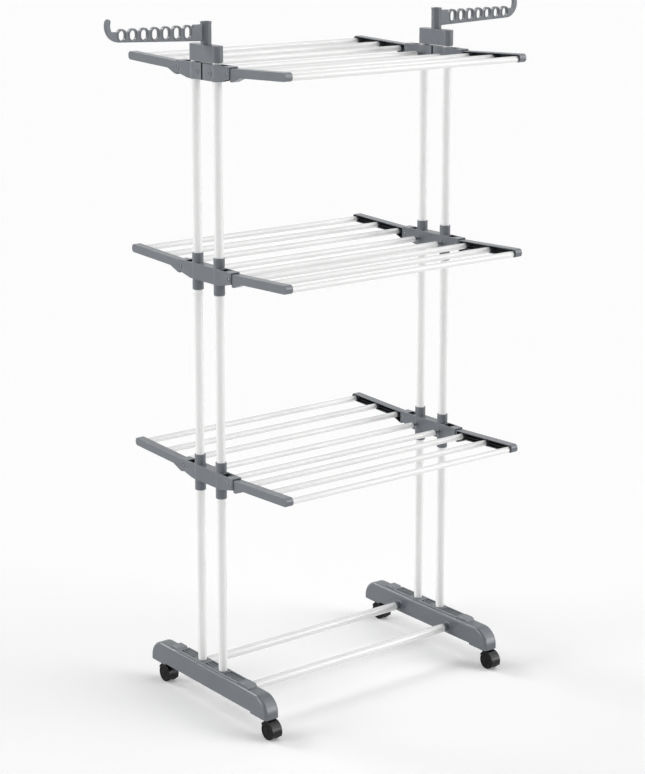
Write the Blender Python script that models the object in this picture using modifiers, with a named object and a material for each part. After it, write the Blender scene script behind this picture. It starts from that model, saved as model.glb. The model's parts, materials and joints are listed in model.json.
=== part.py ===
"""Vertical clothes drying rack: two towers of poles, three tiers of bars, six folding wings.

Frame: X runs along the bars, Y to the back, Z up. The origin is on the floor under the middle.
All lengths are metres.
"""

import math

import bmesh
import bpy
from mathutils import Matrix, Vector

# Fits
GAP = 0.0003            # between two pieces that touch
OVERRUN = 0.004         # by which a cutter passes the surface that it opens
SEAT = 0.0008           # by which a joined shape reaches into the one that carries it
MERGE = 0.00003         # within which two points become one

# Facets
POLE_SIDES = 16
BAR_SIDES = 12
ROUND_SIDES = 12
PIN_SIDES = 8
ARC_STEPS = 5
BEND_STEPS = 3
HOOD_STEPS = 10
EDGE_STEPS = 3          # across the rounding of a foot's long edges
SHARP_ANGLE = math.radians(35)  # between faces that meet in a sharp edge

# Towers
TOWER_SPACING = 0.700   # between the two towers, along X
POLE_SPREAD = 0.088     # between the two poles of a tower, along Y
POLE_OD = 0.022
POLE_WALL = 0.0005
POLE_BEND = 0.020       # radius of the bend hidden in the top block

# Tiers: heights of the two middle bars above the floor, then from tier to tier
LOWER_TIER = 0.590
MIDDLE_TIER_RISE = 0.497
UPPER_TIER_RISE = 0.4755

# Bars
BAR_OD = 0.015
BAR_WALL = 0.0004
BAR_PITCH = 0.0875
BARS_PER_WING = 3
MIDDLE_BAR_INSET = 0.0275   # from the tower's middle plane to the end of a middle bar
WING_BAR_INSET = 0.0105     # the same for a wing bar, which ends in its bracket
BAR_SPIGOT_LENGTH = 0.016   # inside the bar's end

# Feet
FOOT_LENGTH = 0.494
FOOT_WIDTH = 0.041
FOOT_HEIGHT = 0.0525    # at the ends, without the deck
FOOT_WALL = 0.003
FOOT_END_RADIUS = 0.044
FOOT_EDGE = 0.008       # rounding of the long edges
FOOT_RIB = 0.003
ARCH_LENGTH = 0.368     # stretch between the feet's ends whose underside is higher
ARCH_RISE = 0.004
SOCKET_DEPTH = 0.038    # of a pole below the deck
SOCKET_WALL = 0.003
SOCKET_FLOOR = 0.004
DECK_LENGTH = 0.262     # raised middle stretch of the foot's top
DECK_WIDTH = 0.033
DECK_RISE = 0.0049
DECK_SLOPE = 0.004
TRAY_START = 0.063      # shallow recess in the deck, from the foot's middle
TRAY_LENGTH = 0.058
TRAY_WIDTH = 0.022
TRAY_DEPTH = 0.0015
PAD_LENGTH = 0.042      # raised pad at the deck's end
PAD_LAP = 0.005         # of the pad over the deck
PAD_WIDTH = 0.029
PAD_RISE = 0.0028       # above the deck
PAD_SLOPE = 0.008

# Base rods, which join the two feet
BASE_ROD_OD = 0.022
BASE_ROD_WALL = 0.0005
BASE_ROD_SPREAD = 0.196
BASE_ROD_RISE = 0.0222  # of the rod's axis above the foot's lowest edge
BASE_PEG_COLLAR = 0.0155    # grey stretch that shows between foot and rod
BASE_SPIGOT_LENGTH = 0.025

# Hubs, which slide on the poles and carry the bars
HUB_LENGTH = 0.217
HUB_WIDTH = 0.026
HUB_RISE = 0.022        # top above the middle bars' axes
HUB_DROP = 0.017        # underside below them, between the poles
HUB_END_DROP = 0.006    # the same at the hub's ends
HUB_WALL = 0.0025
ROOF_THICKNESS = 0.0024
ROOF_LENGTH = 0.0235    # strip over the mouth
SLEEVE_OD = 0.027
SLEEVE_TOP = 0.0465     # above the middle bars' axes
SLEEVE_DROP = 0.043
TOP_SLEEVE_LIP = 0.0005     # on the upper hubs, which have no sleeves
CORE_WALL = 0.004       # between a pole and the channel for the bracket
BAR_NECK_RADIUS = 0.003     # thin neck that holds a middle bar's spigot

# Wings
WING_TILT = math.radians(2.16)
PIVOT_INSET = 0.0085    # from the hub's mouth to the pivot
PIVOT_RISE = 0.0056     # above the middle bars' axes
PIVOT_RADIUS = 0.003
FIRST_BAR_REACH = 0.031     # from the pivot to the wing's first bar
BEAM_HEIGHT = 0.0205
BEAM_WALL = 0.0025
BEAM_TIP = 0.0125       # beyond the last bar
BEAM_TIP_RADIUS = 0.006
BEAM_RIB = 0.002
BEAM_RIB_RECESS = 0.004     # of the middle rib behind the flanges' edges
ROOF_CLEARANCE = 0.0015     # from the beam's top to the hub's roof
STOP_LENGTH = 0.004
STOP_WIDTH = 0.012
GUSSET_INSET = 0.007    # from the pivot to the gusset's upright edge
GUSSET_DROP = 0.0105    # below the beam
TAIL_SOLID = 0.006      # from that edge to where the beam's channel starts
GUSSET_FLAT = 0.003     # beyond the channel's start
GUSSET_SLOPE = 0.031
COLLAR_RADIUS = 0.0079  # round the end of a wing bar
TRUNNION_DEPTH = 0.002  # of a wing's pivot pin in the hub's wall

# Top blocks and their pegs
BLOCK_LIFT = 0.004      # above the upper hub
BLOCK_HEIGHT = 0.0385
BLOCK_WALL = 0.0025
BLOCK_ROOF = 0.004
BLOCK_EDGE = 0.002
PEG_RADIUS = 0.0105
PEG_SINK = 0.004        # of the peg's end below the arm's rim

# Hook arms
ARM_SLEEVE_OD = 0.0255
ARM_SLEEVE_HEIGHT = 0.0525
ARM_RIM_OD = 0.028
ARM_RIM_HEIGHT = 0.003
ARM_WEB = 0.0075
ARM_BEAD = 0.010        # thickness of the beads round the holes
ARM_BEAD_WIDTH = 0.0042
ARM_ROOT_LOW = 0.008    # lower edge above the sleeve's end, at the sleeve
ARM_ROOT_HEIGHT = 0.0385
HOLE_COUNT = 7
FIRST_HOLE = 0.052      # from the post's axis
HOLE_PITCH = 0.0295
HOLE_WIDTH = 0.0196
FIRST_HOLE_HEIGHT = 0.0262
LAST_HOLE_HEIGHT = 0.0215
HOLE_AXIS_RISE = 0.0297     # above the sleeve's end, at the first hole
HOLE_CLIMB = 0.002      # from the first hole to the last
HOOK_RADIUS = 0.037     # outer radius of the curl
HOOK_THICKNESS = 0.013
HOOK_CURL = math.radians(108)
HOOK_OFFSET = 0.006     # of the curl's centre beyond the last hole
HOOK_INNER_END = math.radians(-32)  # where the curl's inner edge meets the arm

# Casters
WHEEL_OD = 0.044
WHEEL_WIDTH = 0.0105
WHEEL_SIDES = 20
AXLE_RADIUS = 0.003
WEB_WIDTH = 0.0065      # hood between the two wheels
WHEEL_CLEARANCE = 0.001
HOOD_THICKNESS = 0.0025
HOOD_FRONT = math.radians(18)
HOOD_BACK = math.radians(168)
WEB_DROP = math.radians(16)
CASTER_TRAIL = 0.022
CASTER_INSET = 0.027    # from the foot's end to the swivel axis
SWIVEL_BOSS_RADIUS = 0.010
SWIVEL_BOSS_HEIGHT = 0.006
SWIVEL_BOSS_LIFT = 0.0005    # of the boss's top over the hood's
SWIVEL_COLLAR_RADIUS = 0.0075
SWIVEL_COLLAR_HEIGHT = 0.001
STEM_RADIUS = 0.005
STEM_LENGTH = 0.028

# Derived heights and places
wheel_radius = WHEEL_OD / 2
wheel_reach = wheel_radius / math.cos(math.pi / WHEEL_SIDES)
hood_bore = (wheel_reach + WHEEL_CLEARANCE) / math.cos((HOOD_BACK - HOOD_FRONT) / (2 * HOOD_STEPS))
hood_radius = hood_bore + HOOD_THICKNESS
swivel_top = wheel_radius + hood_radius + SWIVEL_BOSS_LIFT
foot_bottom = swivel_top + SWIVEL_COLLAR_HEIGHT + GAP
foot_top = foot_bottom + FOOT_HEIGHT
deck_top = foot_top + DECK_RISE
pole_bottom = deck_top - SOCKET_DEPTH
pole_y = POLE_SPREAD / 2
tower_x = TOWER_SPACING / 2
caster_y = FOOT_LENGTH / 2 - CASTER_INSET
tiers = {
    "lower": LOWER_TIER,
    "middle": LOWER_TIER + MIDDLE_TIER_RISE,
    "upper": LOWER_TIER + MIDDLE_TIER_RISE + UPPER_TIER_RISE,
}
block_bottom = tiers["upper"] + HUB_RISE + BLOCK_LIFT
block_top = block_bottom + BLOCK_HEIGHT
pole_crown = block_top - BLOCK_ROOF - GAP - POLE_OD / 2
arm_bottom = block_top + GAP
pivot_y = HUB_LENGTH / 2 - PIVOT_INSET
channel_width = HUB_WIDTH - 2 * HUB_WALL
bracket_width = channel_width - 2 * GAP
roof_over_pivot = HUB_RISE - ROOF_THICKNESS - PIVOT_RISE
beam_top = roof_over_pivot - ROOF_CLEARANCE
beam_bottom = beam_top - BEAM_HEIGHT
channel_start = GUSSET_INSET + TAIL_SOLID
beam_end = FIRST_BAR_REACH + (BARS_PER_WING - 1) * BAR_PITCH + BEAM_TIP
bar_bore = BAR_OD / 2 - BAR_WALL
base_bore = BASE_ROD_OD / 2 - BASE_ROD_WALL
bar_spigot = bar_bore * math.cos(math.pi / BAR_SIDES) - GAP
base_spigot = base_bore * math.cos(math.pi / POLE_SIDES) - GAP
pole_hole = (POLE_OD / 2 + GAP) / math.cos(math.pi / POLE_SIDES)
stem_hole = (STEM_RADIUS + GAP) / math.cos(math.pi / ROUND_SIDES)
pivot_hole = (PIVOT_RADIUS + GAP) / math.cos(math.pi / PIN_SIDES)
axle_hole = (AXLE_RADIUS + GAP) / math.cos(math.pi / PIN_SIDES)
peg_hole = (PEG_RADIUS + GAP) / math.cos(math.pi / POLE_SIDES)
SIDES = {"left": -1, "right": 1}
ENDS = {"front": -1, "back": 1}

# Materials: base colour, roughness, metallic
FINISHES = {
    "grey_plastic": ((0.185, 0.195, 0.205, 1.0), 0.5, 0.0),
    "white_steel": ((0.82, 0.83, 0.83, 1.0), 0.35, 0.0),
    "black_plastic": ((0.015, 0.015, 0.016, 1.0), 0.45, 0.0),
    "black_wheel": ((0.02, 0.02, 0.02, 1.0), 0.6, 0.0),
}


def start_scene():
    """Empty the scene and make the collections for the parts and for the cutters."""
    for item in list(bpy.data.objects):
        bpy.data.objects.remove(item, do_unlink=True)
    made = []
    for title in ("drying_rack", "cutters"):
        group = bpy.data.collections.new(title)
        bpy.context.scene.collection.children.link(group)
        made.append(group)
    return made


def finish(kind, node):
    """One Principled material for a node."""
    colour, roughness, metallic = FINISHES[kind]
    material = bpy.data.materials.new(node)
    material.use_nodes = True
    shader = material.node_tree.nodes["Principled BSDF"]
    shader.inputs["Base Color"].default_value = colour
    shader.inputs["Roughness"].default_value = roughness
    shader.inputs["Metallic"].default_value = metallic
    return material


def put(name, mesh, kind, place=(0, 0, 0), turn=(0, 0, 0), parent=None):
    """A node: an object that holds the mesh, with its own material."""
    item = bpy.data.objects.new(name, mesh)
    parts.objects.link(item)
    item.location = place
    item.rotation_euler = turn
    item.parent = parent
    if not mesh.materials:
        mesh.materials.append(None)
    item.material_slots[0].link = "OBJECT"
    item.material_slots[0].material = finish(kind, name)
    return item


def axis_empty(name, place, turn=(0, 0, 0), parent=None):
    """An empty on a joint's axis."""
    item = bpy.data.objects.new(name, None)
    parts.objects.link(item)
    item.location = place
    item.rotation_euler = turn
    item.parent = parent
    return item


def smooth(mesh):
    mesh.shade_smooth()
    mesh.set_sharp_from_angle(angle=SHARP_ANGLE)
    return mesh


def mesh_from(shape):
    """A mesh made of a bmesh."""
    bmesh.ops.recalc_face_normals(shape, faces=shape.faces)
    mesh = bpy.data.meshes.new("shape")
    shape.to_mesh(mesh)
    shape.free()
    return mesh


def box(low, high):
    """A box between two corners."""
    shape = bmesh.new()
    low, high = Vector(low), Vector(high)
    stretch = Matrix.Diagonal((*(high - low), 1))
    bmesh.ops.create_cube(shape, size=1, matrix=Matrix.Translation((low + high) / 2) @ stretch)
    return mesh_from(shape)


def rod(start, end, radius, sides=ROUND_SIDES):
    """A solid round rod between two points."""
    shape = bmesh.new()
    start, end = Vector(start), Vector(end)
    aim = (end - start).to_track_quat("Z", "Y").to_matrix().to_4x4()
    bmesh.ops.create_cone(shape, cap_ends=True, segments=sides, radius1=radius, radius2=radius,
                          depth=(end - start).length,
                          matrix=Matrix.Translation((start + end) / 2) @ aim)
    return mesh_from(shape)


def group(meshes):
    """Several separate shapes in one mesh."""
    shape = bmesh.new()
    for mesh in meshes:
        shape.from_mesh(mesh)
        bpy.data.meshes.remove(mesh)
    return mesh_from(shape)


def both(make):
    """The shape and its twin on the other side of the middle plane, along Y."""
    return group([make(-1), make(1)])


def arc(centre, radius, start, end, steps=ARC_STEPS):
    """Points along an arc, with angles in radians."""
    points = []
    for step in range(steps + 1):
        angle = start + (end - start) * step / steps
        points.append((centre[0] + radius * math.cos(angle), centre[1] + radius * math.sin(angle)))
    return points


# Where an outline's own axes point: along the rack's side, and across its front
SIDE_ON = Matrix(((0, 0, 1, 0), (1, 0, 0, 0), (0, 1, 0, 0), (0, 0, 0, 1)))
FRONT_ON = Matrix(((1, 0, 0, 0), (0, 0, -1, 0), (0, 1, 0, 0), (0, 0, 0, 1)))


def plate(outline, thickness, facing, rounding=0, shift=0, facets=1):
    """A flat outline with its thickness about zero, or about the shift, and rounded edges.

    The outline is drawn smaller by the rounding, which then brings it to size.
    """
    curve = bpy.data.curves.new("outline", "CURVE")
    curve.dimensions = "2D"
    curve.fill_mode = "BOTH"
    curve.extrude = thickness / 2 - rounding
    curve.bevel_depth = rounding
    curve.bevel_resolution = facets - 1
    line = curve.splines.new("POLY")
    line.points.add(len(outline) - 1)
    for point, (u, w) in zip(line.points, outline):
        point.co = (u, w, 0, 1)
    line.use_cyclic_u = True
    mesh = baked(bpy.data.objects.new("outline", curve))
    mesh.transform(facing @ Matrix.Translation((0, 0, shift)))
    return mesh


def baked(item):
    """The mesh of an object as its modifiers or its curve settings make it; the object goes."""
    bpy.context.scene.collection.objects.link(item)
    bpy.context.view_layer.update()
    seen = item.evaluated_get(bpy.context.evaluated_depsgraph_get())
    mesh = bpy.data.meshes.new_from_object(seen)
    bpy.data.objects.remove(item, do_unlink=True)
    shape = bmesh.new()
    shape.from_mesh(mesh)
    bpy.data.meshes.remove(mesh)
    bmesh.ops.remove_doubles(shape, verts=shape.verts, dist=MERGE)
    return mesh_from(shape)


def turned(profile, sides, hollow=False):
    """A turned shape about Z: a profile of radii and heights, which runs down its outer side."""
    mesh = bpy.data.meshes.new("profile")
    points = [(radius, 0, height) for radius, height in profile]
    edges = [(k, k + 1) for k in range(len(points) - 1)]
    if hollow:
        edges.append((len(points) - 1, 0))
    mesh.from_pydata(points, edges, [])
    item = bpy.data.objects.new("profile", mesh)
    screw = item.modifiers.new("turn", "SCREW")
    screw.steps = screw.render_steps = sides
    screw.use_merge_vertices = True
    screw.merge_threshold = MERGE
    return smooth(baked(item))


def tube(length, outer, inner, sides):
    """An open tube, centred, along X."""
    half = length / 2
    mesh = turned([(outer, half), (outer, -half), (inner, -half), (inner, half)], sides, True)
    mesh.transform(Matrix.Rotation(math.pi / 2, 4, "Y"))
    return mesh


def worked(name, base, steps):
    """The base after the Boolean steps, each an operation and a mesh, kept among the cutters."""
    item = bpy.data.objects.new(name, base)
    for number, (operation, mesh) in enumerate(steps):
        tool = bpy.data.objects.new(f"{name}_{operation.lower()}_{number}", mesh)
        cutters.objects.link(tool)
        tool.hide_render = True
        tool.display_type = "WIRE"
        change = item.modifiers.new(tool.name, "BOOLEAN")
        change.operation = operation
        change.solver = "EXACT"
        change.object = tool
    return smooth(baked(item))


def add(mesh):
    return "UNION", mesh


def cut(mesh):
    return "DIFFERENCE", mesh


def foot_outline(inset, bottom):
    """A foot seen from the side, with quarter-round ends."""
    half = FOOT_LENGTH / 2 - inset
    top = foot_top - inset
    radius = FOOT_END_RADIUS - inset
    low_turn, high_turn = (half - radius, top - radius), (radius - half, top - radius)
    return ([(half, bottom)] + arc(low_turn, radius, 0, math.pi / 2)
            + arc(high_turn, radius, math.pi / 2, math.pi) + [(-half, bottom)])


def foot_mesh():
    """The left foot, a shell open below, about its own middle and standing at its real height."""
    roof = foot_top - FOOT_WALL / 2
    inner_width = FOOT_WIDTH - 2 * FOOT_WALL
    rib_half = inner_width / 2 + FOOT_WALL / 2
    boss_radius = pole_hole + SOCKET_WALL
    socket_bottom = pole_bottom - GAP
    boss_bottom = socket_bottom - SOCKET_FLOOR
    stem_boss_top = foot_bottom + STEM_LENGTH + SOCKET_FLOOR
    rod_y, rod_z = BASE_ROD_SPREAD / 2, foot_bottom + BASE_ROD_RISE
    face = FOOT_WIDTH / 2
    collar_end = face + BASE_PEG_COLLAR
    pad_start = DECK_LENGTH / 2 - PAD_LAP
    pad_top = deck_top + PAD_RISE

    def mound(low_y, high_y, slope, high, width):
        """A raised stretch of the top with sloping ends."""
        return plate([(low_y, roof), (high_y, roof), (high_y - slope, high), (low_y + slope, high)],
                     width, SIDE_ON)

    def pole_boss(side):
        y = side * pole_y
        return rod((0, y, boss_bottom), (0, y, roof), boss_radius)

    def pole_rib(side):
        y = side * pole_y
        return box((-rib_half, y - FOOT_RIB / 2, boss_bottom + GAP), (rib_half, y + FOOT_RIB / 2, roof))

    def stem_boss(side):
        y = side * caster_y
        return rod((0, y, foot_bottom), (0, y, stem_boss_top), stem_hole + SOCKET_WALL)

    def stem_rib(side):
        y = side * caster_y
        return box((-rib_half, y - FOOT_RIB / 2, foot_bottom + FOOT_RIB),
                   (rib_half, y + FOOT_RIB / 2, stem_boss_top - GAP))

    def collar(side):
        y = side * rod_y
        return rod((face - FOOT_WALL / 2, y, rod_z), (collar_end, y, rod_z), BASE_ROD_OD / 2, POLE_SIDES)

    def spigot(side):
        y = side * rod_y
        tip = collar_end + BASE_SPIGOT_LENGTH
        return rod((face, y, rod_z), (tip, y, rod_z), base_spigot, POLE_SIDES)

    def pad(side):
        low_y, high_y = sorted((side * pad_start, side * (pad_start + PAD_LENGTH)))
        return mound(low_y, high_y, PAD_SLOPE, pad_top, PAD_WIDTH)

    def tray(side):
        low_y, high_y = sorted((side * TRAY_START, side * (TRAY_START + TRAY_LENGTH)))
        return box((-TRAY_WIDTH / 2, low_y, deck_top - TRAY_DEPTH),
                   (TRAY_WIDTH / 2, high_y, deck_top + OVERRUN))

    def socket(side):
        y = side * pole_y
        return rod((0, y, socket_bottom), (0, y, pad_top + OVERRUN), pole_hole, POLE_SIDES)

    def stem_socket(side):
        y = side * caster_y
        return rod((0, y, foot_bottom - OVERRUN), (0, y, foot_bottom + STEM_LENGTH), stem_hole)

    shell = plate(foot_outline(FOOT_EDGE, foot_bottom - FOOT_EDGE), FOOT_WIDTH, SIDE_ON, FOOT_EDGE,
                  facets=EDGE_STEPS)
    below = box((-FOOT_WIDTH, -FOOT_LENGTH, foot_bottom - FOOT_HEIGHT),
                (FOOT_WIDTH, FOOT_LENGTH, foot_bottom))
    arch = box((-FOOT_WIDTH, -ARCH_LENGTH / 2, foot_bottom - OVERRUN),
               (FOOT_WIDTH, ARCH_LENGTH / 2, foot_bottom + ARCH_RISE))
    hollow = plate(foot_outline(FOOT_EDGE, foot_bottom - FOOT_EDGE), inner_width, SIDE_ON,
                   FOOT_EDGE - FOOT_WALL)
    deck = mound(-DECK_LENGTH / 2, DECK_LENGTH / 2, DECK_SLOPE, deck_top, DECK_WIDTH)
    return worked("foot", shell, [
        cut(below), cut(arch), cut(hollow), add(both(pole_boss)), add(both(pole_rib)),
        add(both(stem_boss)), add(both(stem_rib)), add(both(collar)), add(both(spigot)), add(deck),
        add(both(pad)), cut(both(tray)), cut(both(socket)), cut(both(stem_socket))])


def mast_mesh():
    """The two poles of a tower, one tube that bends over inside the top block."""
    turn_y, turn_z = pole_y - POLE_BEND, pole_crown - POLE_BEND
    route = [(-pole_y, pole_bottom)]
    route += arc((-turn_y, turn_z), POLE_BEND, math.pi, math.pi / 2, BEND_STEPS)
    route += arc((turn_y, turn_z), POLE_BEND, math.pi / 2, 0, BEND_STEPS)
    route.append((pole_y, pole_bottom))
    curve = bpy.data.curves.new("mast", "CURVE")
    curve.dimensions = "3D"
    curve.bevel_depth = POLE_OD / 2
    curve.bevel_resolution = POLE_SIDES // 2 - 2
    line = curve.splines.new("POLY")
    line.points.add(len(route) - 1)
    for point, (y, z) in zip(line.points, route):
        point.co = (0, y, z, 1)
    item = bpy.data.objects.new("mast", baked(bpy.data.objects.new("mast", curve)))
    wall = item.modifiers.new("wall", "SOLIDIFY")
    wall.thickness = POLE_WALL
    wall.offset = -1
    return smooth(baked(item))


def hub_mesh(sleeve_top, sleeve_drop):
    """A left hub about its tower's axis, with zero at the height of the middle bars."""
    half = HUB_LENGTH / 2
    core = pole_y + POLE_OD / 2 + GAP + CORE_WALL
    roof_start = half - ROOF_LENGTH
    roof_low = HUB_RISE - ROOF_THICKNESS
    channel = channel_width / 2
    face = HUB_WIDTH / 2
    shoulder = MIDDLE_BAR_INSET
    low = -sleeve_drop - HUB_DROP

    def outline():
        return [(half, HUB_RISE), (-half, HUB_RISE), (-half, -HUB_END_DROP), (-core, -HUB_DROP),
                (core, -HUB_DROP), (half, -HUB_END_DROP)]

    def sleeve(side):
        y = side * pole_y
        return rod((0, y, -sleeve_drop), (0, y, sleeve_top), SLEEVE_OD / 2, POLE_SIDES)

    def channel_cut(side):
        near, far = sorted((side * core, side * (half + OVERRUN)))
        return box((-channel, near, low), (channel, far, roof_low))

    def window(side):
        near, far = sorted((side * core, side * roof_start))
        return box((-channel, near, roof_low - OVERRUN), (channel, far, HUB_RISE + OVERRUN))

    def pole_cut(side):
        y = side * pole_y
        return rod((0, y, low), (0, y, sleeve_top + OVERRUN), pole_hole, POLE_SIDES)

    def pivot_cut(side):
        y, reach = side * pivot_y, face + OVERRUN
        return rod((-reach, y, PIVOT_RISE), (reach, y, PIVOT_RISE), pivot_hole, PIN_SIDES)

    def neck(side):
        y = side * pole_y
        return rod((face - SEAT, y, 0), (shoulder + SEAT, y, 0), BAR_NECK_RADIUS, PIN_SIDES)

    def spigot(side):
        y = side * pole_y
        tip = shoulder + BAR_SPIGOT_LENGTH
        return rod((shoulder, y, 0), (tip, y, 0), bar_spigot, PIN_SIDES)

    body = plate(outline(), HUB_WIDTH, SIDE_ON)
    return worked("hub", body, [
        add(both(sleeve)), cut(both(channel_cut)), cut(both(window)), cut(both(pole_cut)),
        cut(both(pivot_cut)), add(both(neck)), add(both(spigot))])


def bracket_outline(inset, start):
    """A wing bracket from the side: along the beam from the pivot, and up. It starts at a tail."""
    top, bottom = beam_top - inset, beam_bottom + inset
    radius = BEAM_TIP_RADIUS - inset
    end = beam_end - inset
    edge = GUSSET_INSET + inset
    low = bottom - GUSSET_DROP
    flat_end = channel_start + GUSSET_FLAT - inset / 2
    slope_end = flat_end + GUSSET_SLOPE
    tip = (arc((end - radius, bottom + radius), radius, -math.pi / 2, 0, BEND_STEPS)
           + arc((end - radius, top - radius), radius, 0, math.pi / 2, BEND_STEPS))
    if start is None:
        tail = arc((0, 0), beam_top, math.pi / 2, 3 * math.pi / 2) + [(edge, -beam_top), (edge, low)]
    else:
        tail = [(start, top), (start, low)]
    return tail + [(flat_end, low), (slope_end, bottom)] + tip


def bracket_mesh(side):
    """A wing bracket in the wing's own frame: pivot axis along X, beam along Y."""
    half = bracket_width / 2
    tower = side * tower_x
    inner = tower - side * half
    web_face = tower + side * (half - BEAM_WALL)
    rib_edge = inner + side * BEAM_RIB_RECESS
    bar_end = side * (tower_x - WING_BAR_INSET)
    trunnion = half + GAP + TRUNNION_DEPTH
    stop_low, stop_high = beam_top - BEAM_WALL / 2, roof_over_pivot - GAP
    bar_places = [FIRST_BAR_REACH + number * BAR_PITCH for number in range(BARS_PER_WING)]

    def across(first, second, low_y, high_y, low_z, high_z):
        near, far = sorted((first, second))
        return box((near, low_y, low_z), (far, high_y, high_z))

    collars, spigots = [], []
    for y in bar_places:
        collars.append(rod((web_face + side * SEAT, y, 0), (bar_end + side * GAP, y, 0), COLLAR_RADIUS,
                           BAR_SIDES))
        spigots.append(rod((web_face, y, 0), (bar_end - side * BAR_SPIGOT_LENGTH, y, 0),
                           bar_spigot, PIN_SIDES))
    body = plate(bracket_outline(0, None), bracket_width, SIDE_ON, shift=tower)
    hollow = plate(bracket_outline(BEAM_WALL, channel_start), bracket_width, SIDE_ON,
                   shift=tower - side * BEAM_WALL)
    rib = across(web_face + side * SEAT, rib_edge, channel_start - SEAT, beam_end - BEAM_WALL / 2,
                 -BEAM_RIB / 2, BEAM_RIB / 2)
    stop = across(tower - STOP_WIDTH / 2, tower + STOP_WIDTH / 2, 0, STOP_LENGTH, stop_low, stop_high)
    pin = rod((tower - trunnion, 0, 0), (tower + trunnion, 0, 0), PIVOT_RADIUS, PIN_SIDES)
    return worked("bracket", body, [
        cut(hollow), add(rib), add(group(collars)), add(group(spigots)), add(stop), add(pin)])


def block_mesh():
    """A top block, a cap open below over the bend of the poles, with the peg for its arm."""
    inner_half = pole_y + POLE_OD / 2 + GAP
    half = inner_half + BLOCK_WALL
    inner_width = POLE_OD + 2 * GAP
    end, low, high = half - BLOCK_EDGE, block_bottom + BLOCK_EDGE, block_top - BLOCK_EDGE
    cavity_top = block_top - BLOCK_ROOF
    body = plate([(end, low), (end, high), (-end, high), (-end, low)], inner_width + 2 * BLOCK_WALL,
                 SIDE_ON, BLOCK_EDGE)
    cavity = box((-inner_width / 2, -inner_half, block_bottom - OVERRUN),
                 (inner_width / 2, inner_half, cavity_top))
    peg_top = arm_bottom + ARM_SLEEVE_HEIGHT - PEG_SINK
    peg = rod((0, 0, block_top - BLOCK_ROOF / 2), (0, 0, peg_top), PEG_RADIUS)
    return worked("block", body, [cut(cavity), add(peg)])


def hole_places():
    """Centre and height of each hole of an arm, from the post outwards, above the sleeve's end."""
    places = []
    for number in range(HOLE_COUNT):
        along = number / (HOLE_COUNT - 1)
        x = FIRST_HOLE + number * HOLE_PITCH
        z = HOLE_AXIS_RISE + along * HOLE_CLIMB
        places.append((x, z, FIRST_HOLE_HEIGHT + along * (LAST_HOLE_HEIGHT - FIRST_HOLE_HEIGHT)))
    return places


def long_round(centre, width, height):
    """An upright outline with half-round ends."""
    radius = width / 2
    lift = height / 2 - radius
    x, z = centre
    return arc((x, z + lift), radius, 0, math.pi) + arc((x, z - lift), radius, math.pi, 2 * math.pi)


def arm_mesh():
    """A hook arm along +X from its post's axis, with zero at the sleeve's lower end."""
    places = hole_places()
    last_x, last_z, last_height = places[-1]
    bead = 2 * ARM_BEAD_WIDTH
    tip_low = last_z - last_height / 2 - ARM_BEAD_WIDTH
    centre = (last_x + HOOK_OFFSET, tip_low + HOOK_RADIUS)
    inner = HOOK_RADIUS - HOOK_THICKNESS
    start = (ARM_SLEEVE_OD / 2 + peg_hole) / 2
    curl_end = HOOK_CURL - math.pi / 2
    tip_middle = (inner + HOOK_RADIUS) / 2
    tip_centre = (centre[0] + tip_middle * math.cos(curl_end), centre[1] + tip_middle * math.sin(curl_end))
    neck = places[-1][1] + last_height / 2
    outline = [(start, ARM_ROOT_LOW)]
    outline += arc(centre, HOOK_RADIUS, -math.pi / 2, curl_end, 2 * ARC_STEPS)
    outline += arc(tip_centre, HOOK_THICKNESS / 2, curl_end, curl_end + math.pi)[1:-1]
    outline += arc(centre, inner, curl_end, HOOK_INNER_END)
    outline += [(last_x, neck), (start, ARM_ROOT_LOW + ARM_ROOT_HEIGHT)]
    sleeve = ARM_SLEEVE_OD / 2
    rim_low = ARM_SLEEVE_HEIGHT - ARM_RIM_HEIGHT
    post = turned([(ARM_RIM_OD / 2, ARM_SLEEVE_HEIGHT), (ARM_RIM_OD / 2, rim_low), (sleeve, rim_low),
                   (sleeve, 0), (peg_hole, 0), (peg_hole, ARM_SLEEVE_HEIGHT)], POLE_SIDES, True)
    beads = [plate(long_round((x, z), HOLE_WIDTH + bead, height + bead), ARM_BEAD, FRONT_ON)
             for x, z, height in places]
    holes = [plate(long_round((x, z), HOLE_WIDTH, height), ARM_BEAD + 2 * OVERRUN, FRONT_ON)
             for x, z, height in places]
    web = plate(outline, ARM_WEB, FRONT_ON)
    return worked("arm", web, [add(mesh) for mesh in beads] + [add(post), cut(group(holes))])


def caster_body_mesh():
    """A caster's hood and stem, about the swivel axis and standing on the floor. It trails to -Y."""
    axle = (-CASTER_TRAIL, wheel_radius)
    web_half = WEB_WIDTH / 2
    hood_half = web_half + WHEEL_CLEARANCE / 2 + WHEEL_WIDTH
    boss_low = swivel_top - SWIVEL_BOSS_HEIGHT
    collar_top = swivel_top + SWIVEL_COLLAR_HEIGHT
    hood = plate(arc(axle, hood_radius, HOOD_FRONT, HOOD_BACK, HOOD_STEPS)
                 + arc(axle, hood_bore, HOOD_BACK, HOOD_FRONT, HOOD_STEPS), 2 * hood_half, SIDE_ON)
    web = plate(arc(axle, hood_bore + HOOD_THICKNESS / 2, -WEB_DROP, math.pi + WEB_DROP, HOOD_STEPS),
                WEB_WIDTH, SIDE_ON)
    neck = box((-web_half, axle[0], wheel_radius), (web_half, SWIVEL_BOSS_RADIUS / 2, boss_low + SEAT))
    boss = rod((0, 0, boss_low), (0, 0, swivel_top), SWIVEL_BOSS_RADIUS)
    collar = rod((0, 0, swivel_top - SEAT), (0, 0, collar_top), SWIVEL_COLLAR_RADIUS)
    stem = rod((0, 0, swivel_top), (0, 0, collar_top + STEM_LENGTH - 2 * GAP), STEM_RADIUS)
    bore = rod((-hood_half, *axle), (hood_half, *axle), axle_hole, PIN_SIDES)
    return worked("caster", web, [add(hood), add(neck), add(boss), add(collar), add(stem), cut(bore)])


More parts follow.
